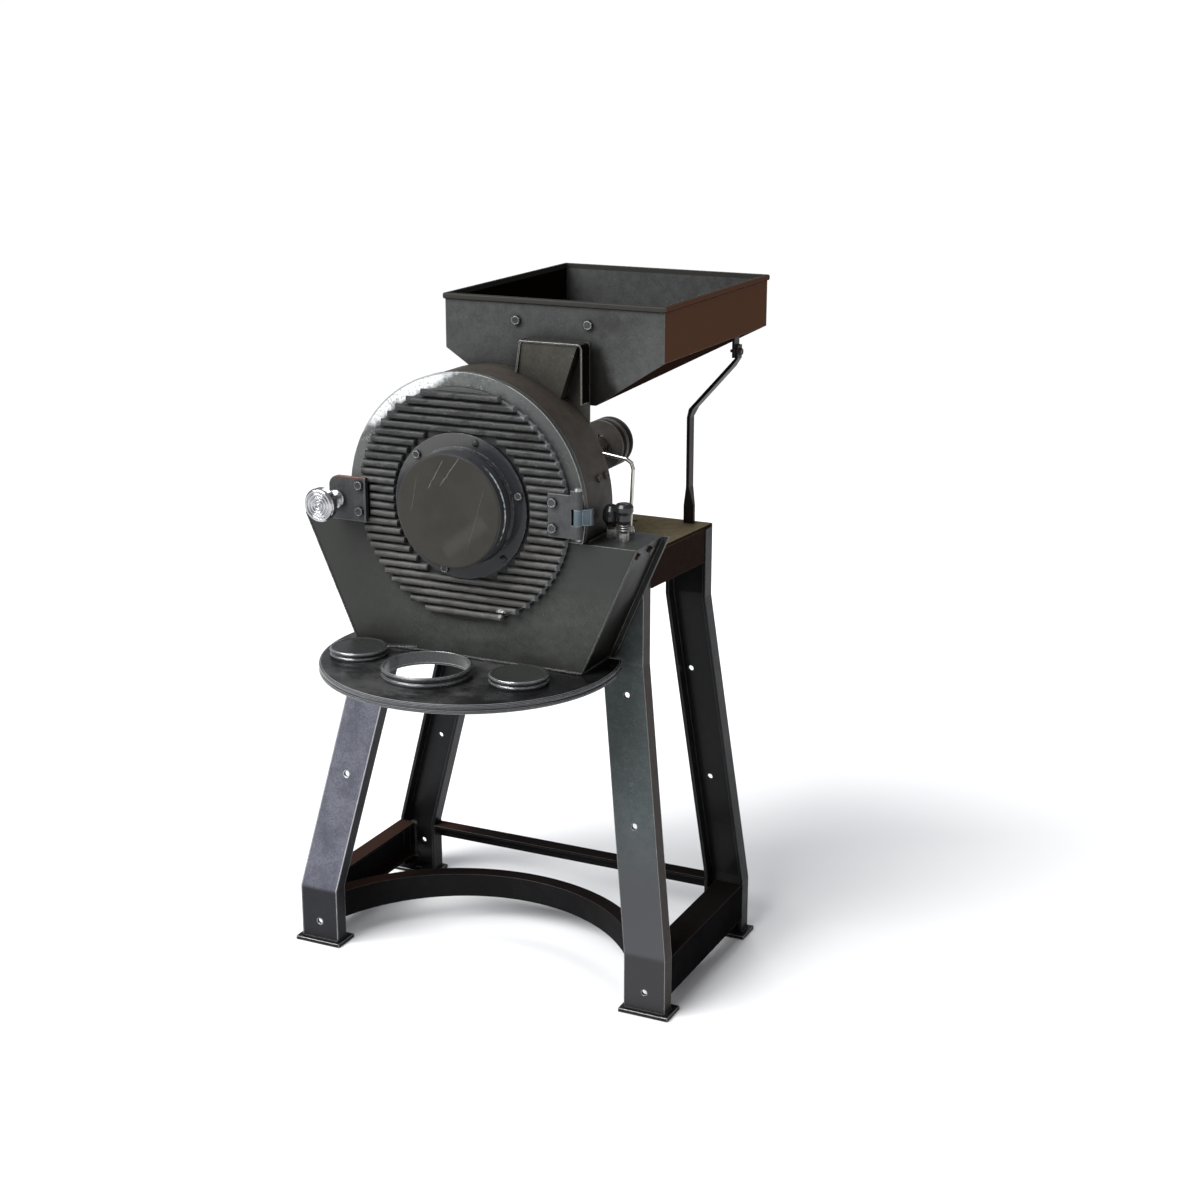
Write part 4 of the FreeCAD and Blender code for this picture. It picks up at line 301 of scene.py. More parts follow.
def leg_shades(made, colour):
    """The right front leg: grey towards the foot, painted shade below its lower bend and on the faces that
    look right.
    """
    height = made.along("Z")
    colour = made.layered((0.058, 0.059, 0.064), colour, made.step(height, 0.16, 0.34))
    # Painted shade below the lower bend.
    colour = made.layered((0.034, 0.0335, 0.036), colour, made.step(height, 0.088, 0.0985))
    # Painted shade on faces that look right.
    return made.layered(colour, (0.040, 0.032, 0.029), made.step(made.facing("X"), 0.35, 0.7))


green_grey = worn_paint("grey_green_paint", (0.078, 0.092, 0.092), (0.060, 0.071, 0.072),
                        (0.42, 0.42, 0.40), wear=0.85, rough=0.36, round_off=0.0022, sheen=0.05,
                        coats=leg_shades)
stand_black = worn_paint("stand_black_paint", (0.0080, 0.0084, 0.0092), (0.012, 0.012, 0.0135),
                         (0.12, 0.12, 0.12), wear=0.5, rough=0.36, sheen=0.08, round_off=0.0018)
sole_black = worn_paint("sole_plate_paint", (0.0085, 0.0085, 0.0090), (0.012, 0.012, 0.013),
                        (0.34, 0.34, 0.33), wear=0.95, rough=0.36, sheen=0.1, round_off=0.0022)
coat(hammertone, "leg_paint_grey", "leg_front_left")
coat(green_grey, "leg_paint_green", "leg_front_right")
coat(stand_black, "frame_black", "leg_rear_left", "leg_rear_right")
coat(sole_black, "frame_black", "foot_plates")


class Form:
    """Points and faces of one piece, gathered before the piece is made."""

    def __init__(self):
        self.points = []
        self.faces = []

    def rings(self, rings, closed=False):
        """Joins equal rings of points into a skin, one after another."""
        first = len(self.points)
        count = len(rings[0])
        for ring in rings:
            self.points += [tuple(p) for p in ring]
        links = len(rings) if closed else len(rings) - 1
        for i in range(links):
            a = first + i * count
            b = first + ((i + 1) % len(rings)) * count
            for j in range(count):
                k = (j + 1) % count
                self.faces.append((a + j, a + k, b + k, b + j))
        if not closed:
            self.faces.append(tuple(first + j for j in reversed(range(count))))
            last = first + (len(rings) - 1) * count
            self.faces.append(tuple(last + j for j in range(count)))

    def piece(self, name, finish, body, sharp=40.0, replaces=()):
        """Makes the object, gives it its finish, and lets it ride on its body."""
        mesh = bpy.data.meshes.new(name)
        mesh.from_pydata(self.points, [], self.faces)
        mesh.validate()
        mesh.polygons.foreach_set("use_smooth", [True] * len(mesh.polygons))
        mesh.set_sharp_from_angle(angle=math.radians(sharp))
        mesh.materials.append(finish.material)
        made = bpy.data.objects.new(name, mesh)
        bpy.context.scene.collection.objects.link(made)
        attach(made, body)
        if replaces:
            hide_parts(*replaces)
        return made


def weld(form, points, radius, chance, pitch=0.0032, sides=8):
    """Lays a rippled weld bead along a line of points."""
    points = [Vector(p) for p in points]
    for start, end in zip(points[:-1], points[1:]):
        run = end - start
        ahead = run.normalized()
        across = ahead.orthogonal().normalized()
        up = ahead.cross(across)
        count = max(6, int(run.length / pitch * 3))
        rings = []
        for i in range(count + 1):
            ripple = 0.86 + 0.16 * abs(math.sin(math.pi * i / 3))
            swell = radius * ripple * (1 + 0.12 * chance.uniform(-1, 1))
            if i in (0, count):
                swell *= 0.45
            drift = 0.12 * radius * chance.uniform(-1, 1)
            middle = start + run * (i / count) + across * drift
            rings.append([middle + (across * math.cos(a) + up * math.sin(a)) * swell
                          for a in (2 * math.pi * j / sides for j in range(sides))])
        form.rings(rings)


stand_welds = Form()
chance = random.Random(4)
sole_top = 0.0065
for side in (-1, 1):
    inner, outer = side * 0.251, side * 0.317
    for y, inward in ((-0.168, 0.025), (0.168, -0.025)):
        sole_corner = [(inner, y, sole_top), (outer, y, sole_top), (outer, y + inward, sole_top)]
        weld(stand_welds, sole_corner, 0.0024, chance)
brace_end, brace_back = -0.2885, 0.1425
weld(stand_welds, [(brace_end, brace_back, 0.034), (brace_end, brace_back, 0.088)], 0.0030, chance)
for level in (0.031, 0.089):
    lump = [(brace_end - 0.007, brace_back, level), (brace_end + 0.007, brace_back, level)]
    weld(stand_welds, lump, 0.0042, chance)
stand_welds.piece("stand_weld_beads", stand_black, "frame")

# Table of flat plate on two deep aprons, brushed olive on top and dark brown at the sides; the top plate's
# faces that look right carry painted shade.
# The top has gone matt and dusty where flour and sacks have lain on it.
table_paint = worn_paint("olive_table_paint", (0.190, 0.156, 0.096), (0.150, 0.124, 0.078),
                         (0.16, 0.13, 0.09), wear=0.5, rough=0.5, side_shade=(0.018, 0.0105, 0.008),
                         sheen=0.0)
apron_paint = worn_paint("brown_apron_paint", (0.0240, 0.0150, 0.0120), (0.017, 0.011, 0.009),
                         (0.10, 0.07, 0.055), wear=0.45, rough=0.42, sheen=0.0)
coat(table_paint, "table_olive", "table_top")
coat(apron_paint, "table_brown", "table_aprons")


# Braces of bent channel between the legs, and the bowed bar that leaves room for a round bin.
# All are black paint over red primer, and welded to the legs' flanges.
def brace_shades(made, colour):
    """Brace paint: reddish primer shows through on what looks up between the left legs."""
    to_left = 1 - made.step(made.along("X"), -0.24, -0.16)
    red = made.step(made.facing("Z"), 0.4, 0.8) * (0.15 + to_left * 0.85)
    return made.layered(colour, (0.030, 0.0165, 0.013), red)


brace_paint = worn_paint("brace_paint", (0.0050, 0.0050, 0.0056), (0.008, 0.0075, 0.008),
                         (0.13, 0.12, 0.11), wear=0.6, rough=0.38, sheen=0.0, coats=brace_shades)
coat(brace_paint, "frame_black", "side_braces", "rear_brace", "front_hoop_brace")

# Welded box of thick plate that carries the drum and leads the flour down to the lid.
# Its seams are hand welded, and the bead shows light where the paint has rubbed off.
weld_steel = worn_paint("painted_weld", (0.050, 0.053, 0.050), (0.032, 0.034, 0.033), (0.30, 0.30, 0.28),
                        wear=0.9, rough=0.4, peel=0.0004, round_off=0.0006)


def plate_shades(made, colour):
    """Body paint: painted shade that makes the faces looking right nearly black, and a soft darker patch
    below the round door.
    """
    x = made.along("X")
    colour = made.layered(colour, (0.0245, 0.0255, 0.0235), (1 - made.step(x, -0.20, -0.04)) * 0.85)
    z = made.along("Z")
    upper_right = made.step(x, 0.10, 0.20) * made.step(z, 0.60, 0.68)
    colour = made.layered(colour, (0.030, 0.033, 0.031), upper_right)
    # Painted shade: faces that look right are made nearly black.
    colour = made.layered(colour, (0.0030, 0.0025, 0.0022), made.step(made.facing("X"), 0.3, 0.6))
    # A soft darker patch below the round door.
    down = z - 0.622
    patch_below_door = made.step(0.010 - (x * x + down * down * 3.2), 0.0, 0.008)
    return made.layered(colour, (0.026, 0.028, 0.026), patch_below_door * 0.3)


body_paint = worn_paint("dark_body_paint", (0.046, 0.0485, 0.0450), (0.036, 0.038, 0.0355),
                        (0.24, 0.24, 0.22), wear=0.7, rough=0.34, peel=0.0002, sheen=0.12,
                        coats=plate_shades)
coat(body_paint, "body_paint", "chute_body", "sieve_rails", "latch_lug")
chute_welds = Form()
front, foot, foot_half = -0.178, 0.5225, 0.187
for side in (-1, 1):
    weld(chute_welds, [(side * foot_half, front, foot), (side * 0.272, front, 0.714)], 0.0016, chance)
    weld(chute_welds, [(side * foot_half, -0.082, foot), (side * foot_half, front, foot)], 0.0022, chance)
    weld(chute_welds, [(side * 0.192, -0.168, 0.7155), (side * 0.192, -0.088, 0.7155)], 0.0022, chance)
foot_seam = [(-foot_half, front - 0.0006, foot), (foot_half, front - 0.0006, foot)]
weld(chute_welds, foot_seam, 0.0024, chance)
chute_welds.piece("chute_weld_beads", weld_steel, "frame")

# Upper half of the drum: a turned ring in front, a shell rolled from sheet, and a back plate.
# The ring's grey paint is worn through; the bare steel at its upper left and along its edges carries
# painted highlight, and its right side painted shade.
axis_height = 0.753
ring_steel = Finish("worn_ring_steel_highlit")
ring_patch = ring_steel.noise(42.0, 8.0, 0.66)
ring_speck = ring_steel.noise(340.0, 5.0, 0.72)
ring_round = ring_steel.rounding(0.0018)
ring_blotch = ring_patch - 0.5
ring_x = ring_steel.along("X")
ring_z = ring_steel.along("Z") - axis_height
ring_out = (ring_x * ring_x + ring_z * ring_z).root()
upper_left = ring_x * -0.515 + ring_z * 0.857
# Painted highlight: the bare steel at the upper left is made bright, with a grey outline at the rim and
# grey specks.
ring_highlight = ring_steel.step(upper_left + ring_blotch * 0.04, 0.164, 0.180)
ring_highlight = ring_highlight * ring_steel.step(ring_steel.facing("Y") * -1.0, 0.5, 0.9)
ring_highlight = ring_highlight * ring_steel.step(ring_out + ring_blotch * 0.03, 0.166, 0.178)
ring_rim = ring_steel.step(ring_out + ring_blotch * 0.002, 0.1888, 0.1902)
ring_edge_highlight = ring_patch + ring_steel.step(ring_x, 0.05, 0.12) * 0.3
ring_colour = ring_steel.layered((0.092, 0.099, 0.093), (0.058, 0.064, 0.061),
                                 ring_steel.step(ring_patch, 0.38, 0.62))
ring_colour = ring_steel.layered(ring_colour, (0.20, 0.205, 0.20),
                                 ring_steel.step(ring_speck + ring_patch * 0.5, 0.80, 0.93) * 0.9)
ring_colour = ring_steel.layered(ring_colour, (0.022, 0.023, 0.022),
                                 ring_steel.step(ring_speck * 0.8 + ring_patch * 0.6, 0.56, 0.44) * 0.6)
# Painted shade on the ring's right side.
ring_colour = ring_steel.layered(ring_colour, (0.026, 0.028, 0.027),
                                 ring_steel.step(ring_x, 0.02, 0.16) * 0.7)
ring_colour = ring_steel.layered(ring_colour, (0.82, 0.83, 0.84),
                                 ring_highlight * ring_steel.step(ring_patch + ring_speck * 0.3, 0.38, 0.58))
ring_colour = ring_steel.layered(ring_colour, (0.16, 0.165, 0.165), ring_highlight * ring_rim * 0.8)
ring_colour = ring_steel.layered(ring_colour, (0.22, 0.225, 0.22),
                                 ring_highlight * ring_steel.step(ring_speck, 0.50, 0.40) * 0.7)
# Painted highlight along the ring's edges, stronger on the right.
ring_colour = ring_steel.layered(ring_colour, (0.55, 0.57, 0.56),
                                 ring_steel.edges(ring_round) * ring_steel.step(ring_edge_highlight, 0.4, 0.6))
ring_steel.shade(Base_Color=ring_colour, Metallic=0.05, Roughness=0.36 + ring_patch * 0.25,
                 Normal=ring_steel.relief(ring_patch + ring_speck * 0.4, 0.0003, ring_round))
shell_paint = worn_paint("brown_shell_paint", (0.060, 0.050, 0.042), (0.048, 0.043, 0.037),
                         (0.22, 0.20, 0.17), wear=0.45, rough=0.46)
neck_paint = worn_paint("olive_neck_paint", (0.050, 0.048, 0.040), (0.040, 0.038, 0.032),
                        (0.22, 0.21, 0.18), wear=0.5, rough=0.44)
coat(ring_steel, "ring_steel", "drum_front_ring")
coat(shell_paint, "shell_paint", "drum_shell", "drum_back_plate")
coat(neck_paint, "shell_paint", "hopper_saddle", "inlet_neck")

# Inside the drum: toothed liner and hub with its beaters in rough cast iron, and the shaft,
# bearings and slit sieve in bright steel. They show once the door is open.
raw_iron = worn_paint("raw_casting", (0.050, 0.046, 0.043), (0.075, 0.066, 0.058), (0.30, 0.29, 0.27),
                      wear=0.6, rough=0.5, peel=0.0006)
bright_steel = Finish("bright_steel", Metallic=1.0)
streak = bright_steel.noise(260.0, 4.0, 0.6, bright_steel.stretched(1.0, 1.0, 0.08))
bright_steel.shade(Base_Color=bright_steel.layered((0.62, 0.60, 0.56), (0.42, 0.40, 0.37), streak),
                   Roughness=0.12 + streak * 0.22)
coat(raw_iron, "iron_castings", "stator_liner", "rotor_hub", "rotor_beaters", "bearing_housing",
     "bearing_cover", "v_pulley")
coat(bright_steel, "bright_steel", "sieve_screen", "rotor_shaft", "bearing_outer_rings",
     "bearing_inner_rings", "bent_rod")

# Cast door with level ribs. Each rib is a bar of its own on the flat disc, with slanted
# ends, so the door's outline is stepped; the rib backs are worn lighter and carry painted
# highlights, and the grooves between them are painted shade.
door_front = -0.1913
door_ground = -0.1843
rib_pitch = 0.0123
rib_half = 0.0051
rib_circle = 0.1728
flange_gap = 0.1086
rib_iron = Finish("worn_rib_iron")
rib_patch = rib_iron.noise(60.0, 7.0, 0.65, rib_iron.stretched(0.35, 1.0, 1.4))
rib_pits = rib_iron.noise(420.0, 4.0, 0.65)
rib_round = rib_iron.rounding(0.0009)
rib_height = rib_iron.step(rib_iron.along("Y") * -1.0, 0.1858, 0.1910)
rib_rub = rib_iron.step(rib_iron.edges(rib_round) * 0.55 + rib_patch * 0.6, 0.45, 0.75)
rib_x = rib_iron.along("X")
rib_z = rib_iron.along("Z") - axis_height
rib_low = 1 - rib_iron.step(rib_z + (rib_patch - 0.5) * 0.1, -0.06, 0.02)
rib_share = rib_iron.node("ShaderNodeMath", {"operation": "FRACT"}, rib_z / rib_pitch + 20.5)
# Painted highlight: each rib is lighter on its upper part, as if lit from above.
rib_crest_lit_top = rib_iron.layered((0.008, 0.008, 0.0078), (0.038, 0.038, 0.0365),
                             rib_iron.step(rib_share, 0.30, 0.62))
rib_high = rib_iron.step(rib_z, 0.02, 0.11)
rib_upper_highlight = rib_iron.step(rib_iron.facing("Z"), 0.30, 0.55)
rib_out = (rib_x * rib_x + rib_z * rib_z).root()
# Painted shade: the ground between the ribs is near black.
rib_colour = rib_iron.layered((0.0030, 0.0029, 0.0028), rib_crest_lit_top, rib_height)
# Painted highlight on the upper parts of the lower ribs.
rib_colour = rib_iron.layered(rib_colour, (0.056, 0.051, 0.045),
                              rib_low * rib_height * rib_iron.step(rib_share, 0.30, 0.58) * 0.7)
rib_colour = rib_iron.layered(rib_colour, (0.020, 0.020, 0.020),
                              rib_iron.step(rib_patch + rib_pits * 0.3, 0.62, 0.48) * rib_height * 0.75)
# Painted shade on the upper ribs.
rib_colour = rib_iron.layered(rib_colour, (0.006, 0.006, 0.006), rib_high * rib_height * 0.9)
rib_colour = rib_iron.layered(rib_colour, (0.10, 0.098, 0.093),
                              rib_rub * rib_height * (0.35 - rib_high * 0.25))
# Painted highlight on the ribs' upward facets.
rib_colour = rib_iron.layered(rib_colour, (0.105, 0.105, 0.101),
                              rib_upper_highlight * rib_iron.step(rib_patch, 0.46, 0.64) * (0.6 - rib_high * 0.4))
rib_colour = rib_iron.layered(rib_colour, (0.13, 0.13, 0.125),
                              rib_iron.step(rib_pits + rib_patch * 0.35, 0.76, 0.88) * rib_height * 0.55)
# Painted highlight along the door's edge on the right.
rib_colour = rib_iron.layered(rib_colour, (0.105, 0.112, 0.120),
                              rib_iron.step(rib_out, 0.1685, 0.1700)
                              * rib_iron.step(rib_x, 0.02, 0.12) * 0.8)
glint_x = rib_x - 0.064
glint_z = rib_z + 0.153
glint = rib_iron.step(0.00010 - (glint_x * glint_x + glint_z * glint_z * 1.6), 0.0, 0.00009)
rib_colour = rib_iron.layered(rib_colour, (0.72, 0.72, 0.70),
                              glint * rib_height * rib_iron.step(rib_pits, 0.42, 0.55))
rib_iron.shade(Base_Color=rib_colour, Metallic=rib_rub * rib_height * 0.4,
               Roughness=0.42 + rib_patch * 0.25,
               Normal=rib_iron.relief(rib_pits * 0.7 + rib_patch, 0.0006, rib_round))

door = Form()
disc_sides = 144
circle = [(math.cos(2 * math.pi * i / disc_sides), math.sin(2 * math.pi * i / disc_sides))
          for i in range(disc_sides)]
outline = [(0.066, -0.1783), (0.170, -0.1783), (0.1715, -0.1795), (0.1715, -0.1835),
           (0.1705, door_ground), (0.066, door_ground)]
door.rings([[(r * c, y, axis_height + r * s) for r, y in outline] for c, s in circle], closed=True)
profile = [(-rib_half, door_ground - 0.0001), (-0.0048, -0.1868), (-0.0043, -0.1902),
           (-0.0034, door_front), (0.0019, door_front), (0.0035, -0.1900), (0.0044, -0.1868),
           (rib_half, door_ground - 0.0001)]
rib_slant = 0.0032
rib_roughness = 0.00045
latch_bay, hinge_bay = -0.1545, 0.1425
rib_chance = random.Random(11)
for number in range(-14, 15):
    level = number * rib_pitch
    reach = math.sqrt(max(0.0, rib_circle ** 2 - level * level))
    if reach < 0.02:
        continue
    lean = 0.0005 * rib_chance.uniform(-1, 1)
    spans = [(-reach, reach)]
    if abs(level) + rib_half < flange_gap:
        bay = math.sqrt(flange_gap ** 2 - max(0.0, abs(level) - rib_half) ** 2)
        spans = [(-reach, -bay), (bay, reach)]
    for left, right in spans:
        if number in (-2, -1, 0, 1, 2) and left > 0:
            right = min(right, hinge_bay)
        if number in (-2, -1, 0, 1) and right < 0:
            left = max(left, latch_bay)
        steps = max(4, int((right - left) / 0.007))
        rings = []
        for i in range(steps + 1):
            share = i / steps
            x = left + (right - left) * share
            ring = []
            for across, y in profile:
                proud = (door_ground - y) / (door_ground - door_front)
                pull = rib_slant * proud * (1 if i == 0 else -1 if i == steps else 0)
                rough_z = rib_roughness * rib_chance.uniform(-1, 1) * proud
                rough_y = rib_roughness * rib_chance.uniform(-0.05, 1) * proud
                height = level + across + rough_z + lean * (share - 0.5)
                in_gap = (x + pull) ** 2 + height ** 2 < flange_gap ** 2
                if in_gap and abs(level) + rib_half >= flange_gap:
                    height = math.copysign(math.sqrt(flange_gap ** 2 - (x + pull) ** 2), level)
                ring.append((x + pull, y + rough_y, axis_height + height))
            rings.append(ring)
        door.rings(rings)
for left, right, low, high in ((-0.173, -0.1565, 0.718, 0.776), (0.144, 0.170, 0.728, 0.786)):
    corners = ((left, low), (right, low), (right, high), (left, high))
    door.rings([[(x, y, z) for x, z in corners] for y in (door_ground, door_front)])
door.piece("ribbed_door", rib_iron, "door_leaf", replaces=("door",))

# Deep round cap on the door, turned over a screwed flange, painted and scratched by hands.
# Two long scratches cross the top of its face.
cap_paint = Finish("scratched_cap_paint")
cap_cloud = cap_paint.noise(16.0, 6.0, 0.6)
cap_fine = cap_paint.noise(480.0, 4.0, 0.6)
cap_speck = cap_paint.noise(170.0, 6.0, 0.7)
cap_round = cap_paint.rounding(0.0020)
cap_x = cap_paint.along("X")
cap_forward = cap_paint.along("Y") * -1.0
cap_z = cap_paint.along("Z")
cap_face = cap_paint.step(cap_forward, 0.2255, 0.2268)


def scratch(made, x0, z0, x1, z1, width, wander):
    """A scraped line between two places on a face that looks to the front."""
    length = math.hypot(x1 - x0, z1 - z0)
    ahead_x, ahead_z = (x1 - x0) / length, (z1 - z0) / length
    x = made.along("X") - x0
    z = made.along("Z") - z0
    run = x * ahead_x + z * ahead_z
    off = x * ahead_z - z * ahead_x + (wander - 0.5) * 0.005
    near = made.step(width - abs(off), 0.0, width * 0.8)
    return near * made.step(run, 0.0, 0.004) * (1 - made.step(run, length - 0.008, length))


marks = scratch(cap_paint, -0.0063, 0.8274, -0.0335, 0.7812, 0.0006, cap_speck)
marks = marks + scratch(cap_paint, 0.0196, 0.8327, -0.0137, 0.7876, 0.0008, cap_speck)
marks = marks + scratch(cap_paint, -0.050, 0.800, -0.062, 0.742, 0.0005, cap_speck) * 0.4
marks = marks + scratch(cap_paint, 0.058, 0.790, 0.030, 0.700, 0.0005, cap_speck) * 0.3
marks = marks + cap_paint.step(cap_speck, 0.70, 0.74) * 0.3
at_wall = cap_paint.step(cap_forward, 0.1975, 0.1990)
band = scratch(cap_paint, 0.060, 0.745, -0.010, 0.690, 0.016, cap_cloud) * 0.35
upper_side = cap_x * -0.375 + (cap_z - axis_height) * 0.927
# Painted highlight: the flange is lighter at its upper left.
flange_lit_patch = cap_paint.step(upper_side + (cap_speck - 0.5) * 0.02, 0.060, 0.090) * (1 - cap_face)
# Painted highlight along the cap's rounded edges.
cap_edge_highlight = cap_paint.step(cap_paint.edges(cap_round) + cap_cloud * 0.4, 0.36, 0.6)
# Painted highlight: a dashed bright line on the cap's wall at the right.
wall_glint_line = cap_paint.step(0.0024 - abs(0.2125 - cap_forward), 0.0, 0.0012)
wall_glint_line = wall_glint_line * cap_paint.step(cap_x, 0.045, 0.075) * cap_paint.step(cap_z, 0.700, 0.735)
wall_glint_line = wall_glint_line * cap_paint.step(cap_speck, 0.44, 0.52)
cap_colour = cap_paint.layered((0.040, 0.042, 0.046), (0.032, 0.030, 0.0255), cap_face)
cap_colour = cap_paint.layered(cap_colour, (0.027, 0.0255, 0.022),
                               cap_paint.step(cap_cloud, 0.4, 0.65) * cap_face)
cap_colour = cap_paint.layered(cap_colour, (0.060, 0.058, 0.052), band * cap_face)
cap_colour = cap_paint.layered(cap_colour, (0.15, 0.147, 0.132), marks * cap_face)
cap_colour = cap_paint.layered(cap_colour, (0.0125, 0.0135, 0.0160), (1 - at_wall) * 0.8)
cap_colour = cap_paint.layered(cap_colour, (0.072, 0.072, 0.070), flange_lit_patch * (1 - at_wall) * 0.9)
cap_colour = cap_paint.layered(cap_colour, (0.60, 0.62, 0.64),
                               cap_edge_highlight * (at_wall * 0.85 + cap_paint.step(cap_speck, 0.46, 0.62) * 0.2))
cap_colour = cap_paint.layered(cap_colour, (0.80, 0.84, 0.88), wall_glint_line * 0.95)
cap_paint.shade(Base_Color=cap_colour, Roughness=0.26 + cap_face * 0.32 + cap_cloud * 0.18,
                Metallic=marks * cap_face * 0.6, Coat_Weight=0.25 - cap_face * 0.23,
                Specular_IOR_Level=0.15,
                Normal=cap_paint.relief(cap_fine * 0.4 + cap_cloud, 0.00025, cap_round))
coat(cap_paint, "cap_paint", "door_cap")


# Latch plate and hinge plate bolted on the door, and the hinge's leaf welded on the ring.
# Both plates are hammered dark; the latch plate's top edge is rubbed down to red primer.
def latch_shades(made, colour):
    """Plate paint with the red primer that shows along the upper edge."""
    top = made.step(made.along("Z"), 0.7755, 0.7790) * made.step(0 - made.along("X"), 0.150, 0.152)
    return made.layered(colour, (0.13, 0.050, 0.035), top * 0.8)


plate_paint = worn_paint("plate_paint", (0.056, 0.058, 0.060), (0.036, 0.038, 0.039), (0.30, 0.30, 0.29),
                         wear=0.8, rough=0.42, peel=0.0003, coats=latch_shades)
rubbed_hinge = worn_paint("rubbed_hinge", (0.036, 0.042, 0.050), (0.090, 0.125, 0.150), (0.50, 0.58, 0.63),
                          wear=1.0, rough=0.35, peel=0.0004)
coat(plate_paint, "door_iron", "latch_plate", "hinge_plate")
coat(rubbed_hinge, "body_paint", "hinge_leaf")

# Hexagon bolts, painted over with the plates they hold: chamfered heads with a dished, rubbed
# face and a plain shank. Every second screw of the cap's flange has a domed head.
bolt_steel = worn_paint("painted_bolt_steel", (0.050, 0.051, 0.054), (0.028, 0.029, 0.030),
                        (0.62, 0.62, 0.62), wear=1.0, rough=0.36, peel=0.0003, round_off=0.0007)
brown_bolt = worn_paint("brown_bolt_paint", (0.060, 0.046, 0.038), (0.045, 0.037, 0.032),
                        (0.26, 0.23, 0.20), wear=0.8, rough=0.42, round_off=0.0006)
around = [2 * math.pi * i / 24 for i in range(24)]


def hex_bolt(form, seat, outward, flats, head, shank_r, shank, domed=False, turn=0.3):
    """A bolt whose head stands on its seat and whose shank goes the other way."""
    seat, outward = Vector(seat), Vector(outward).normalized()
    first = outward.orthogonal().normalized()
    second = outward.cross(first)
    apothem = flats / 2

    def ring(height, widest, share=1.0):
        points = []
        for angle in around:
            across = apothem / math.cos((angle + turn) % (math.pi / 3) - math.pi / 6)
            reach = min(apothem if domed else across, widest) * share
            spoke = first * math.cos(angle) + second * math.sin(angle)
            points.append(seat + outward * height + spoke * reach)
        return points

    corner = apothem * 1.155
    rings = [ring(-shank, shank_r), ring(0, shank_r), ring(0, corner, 0.97), ring(head * 0.05, corner)]
    if domed:
        rings += [ring(head * share, apothem * math.sqrt(1 - share * share * 0.94))
                  for share in (0.3, 0.6, 0.85, 1.0)]
    else:
        rings += [ring(head * 0.70, corner), ring(head * 0.88, apothem * 1.07),
                  ring(head, apothem * 0.95), ring(head, apothem * 0.80),
                  ring(head * 0.86, apothem * 0.68), ring(head * 0.82, apothem * 0.3)]
    form.rings(rings)


door_bolts = Form()
plate_front = -0.1963
for seat_x, seat_z, half in ((-0.166, 0.749, 0.0195), (0.151, 0.757, 0.0185)):
    for side in (-1, 1):
        seat = (seat_x, plate_front, seat_z + side * half)
        hex_bolt(door_bolts, seat, (0, -1, 0), 0.013, 0.0053, 0.0039, 0.011)
door_bolts.piece("plate_bolts", bolt_steel, "door_leaf", sharp=32, replaces=("door_bolts",))
cap_screws = Form()
screw_circle = 0.0985
for number in range(6):
    angle = math.radians(14.4 + 60 * number)
    seat = (screw_circle * math.cos(angle), door_front, axis_height + screw_circle * math.sin(angle))
    hex_bolt(cap_screws, seat, (0, -1, 0), 0.011, 0.0045, 0.0024, 0.010, domed=number % 2 == 1,
             turn=0.2 * number)
cap_screws.piece("flange_screws", bolt_steel, "door_leaf", sharp=32, replaces=("cap_screws",))

# Hand knob turned from steel and chromed, with rings cut in its face for grip. It is screwed
# on the spindle that comes through the latch plate.
chrome = Finish("turned_chrome", Metallic=1.0)
haze = chrome.noise(55.0, 4.0)
groove_rate = 3600.0
knob_x = chrome.along("X") + 0.205
knob_z = chrome.along("Z") - 0.745
turned_rings = chrome.node("ShaderNodeMath", {"operation": "SINE"},
                           (knob_x * knob_x + knob_z * knob_z).root() * groove_rate)
chrome.shade(Base_Color=chrome.layered((0.66, 0.66, 0.68), (0.34, 0.34, 0.36), haze),
             Roughness=0.10 + haze * 0.14,
             Normal=chrome.relief(turned_rings + haze * 0.5, 0.00012, chrome.rounding(0.0008)))
coat(chrome, "knob_chrome", "latch_knob")

# Round flour lid of black enamelled sheet with a double bead round its rim, and its vents:
# one open collar in the middle and two small ones under loose caps.
lid_enamel = Finish("black_enamel", IOR=1.5)
dust = lid_enamel.noise(24.0, 7.0, 0.62)
pools = lid_enamel.noise(9.0, 6.0, 0.6)
lint = lid_enamel.noise(330.0, 4.0, 0.7)
lid_round = lid_enamel.rounding(0.0012)
lid_x = lid_enamel.along("X")
lid_top = lid_enamel.step(lid_enamel.facing("Z"), 0.6, 0.9)
lid_rim = 1 - lid_enamel.step(lid_enamel.along("Z"), 0.5195, 0.5205)
lid_dust = lid_enamel.step(dust * 0.7 + pools * 0.7 + lint * 0.2, 0.66, 0.98)
# Painted highlight along the lid's beads and edges.
lid_edge_highlight = lid_enamel.step(lid_enamel.edges(lid_round) + dust * 0.4, 0.45, 0.75)
lid_colour = lid_enamel.layered((0.012, 0.012, 0.013), (0.080, 0.080, 0.078), lid_dust * lid_top * 0.8)
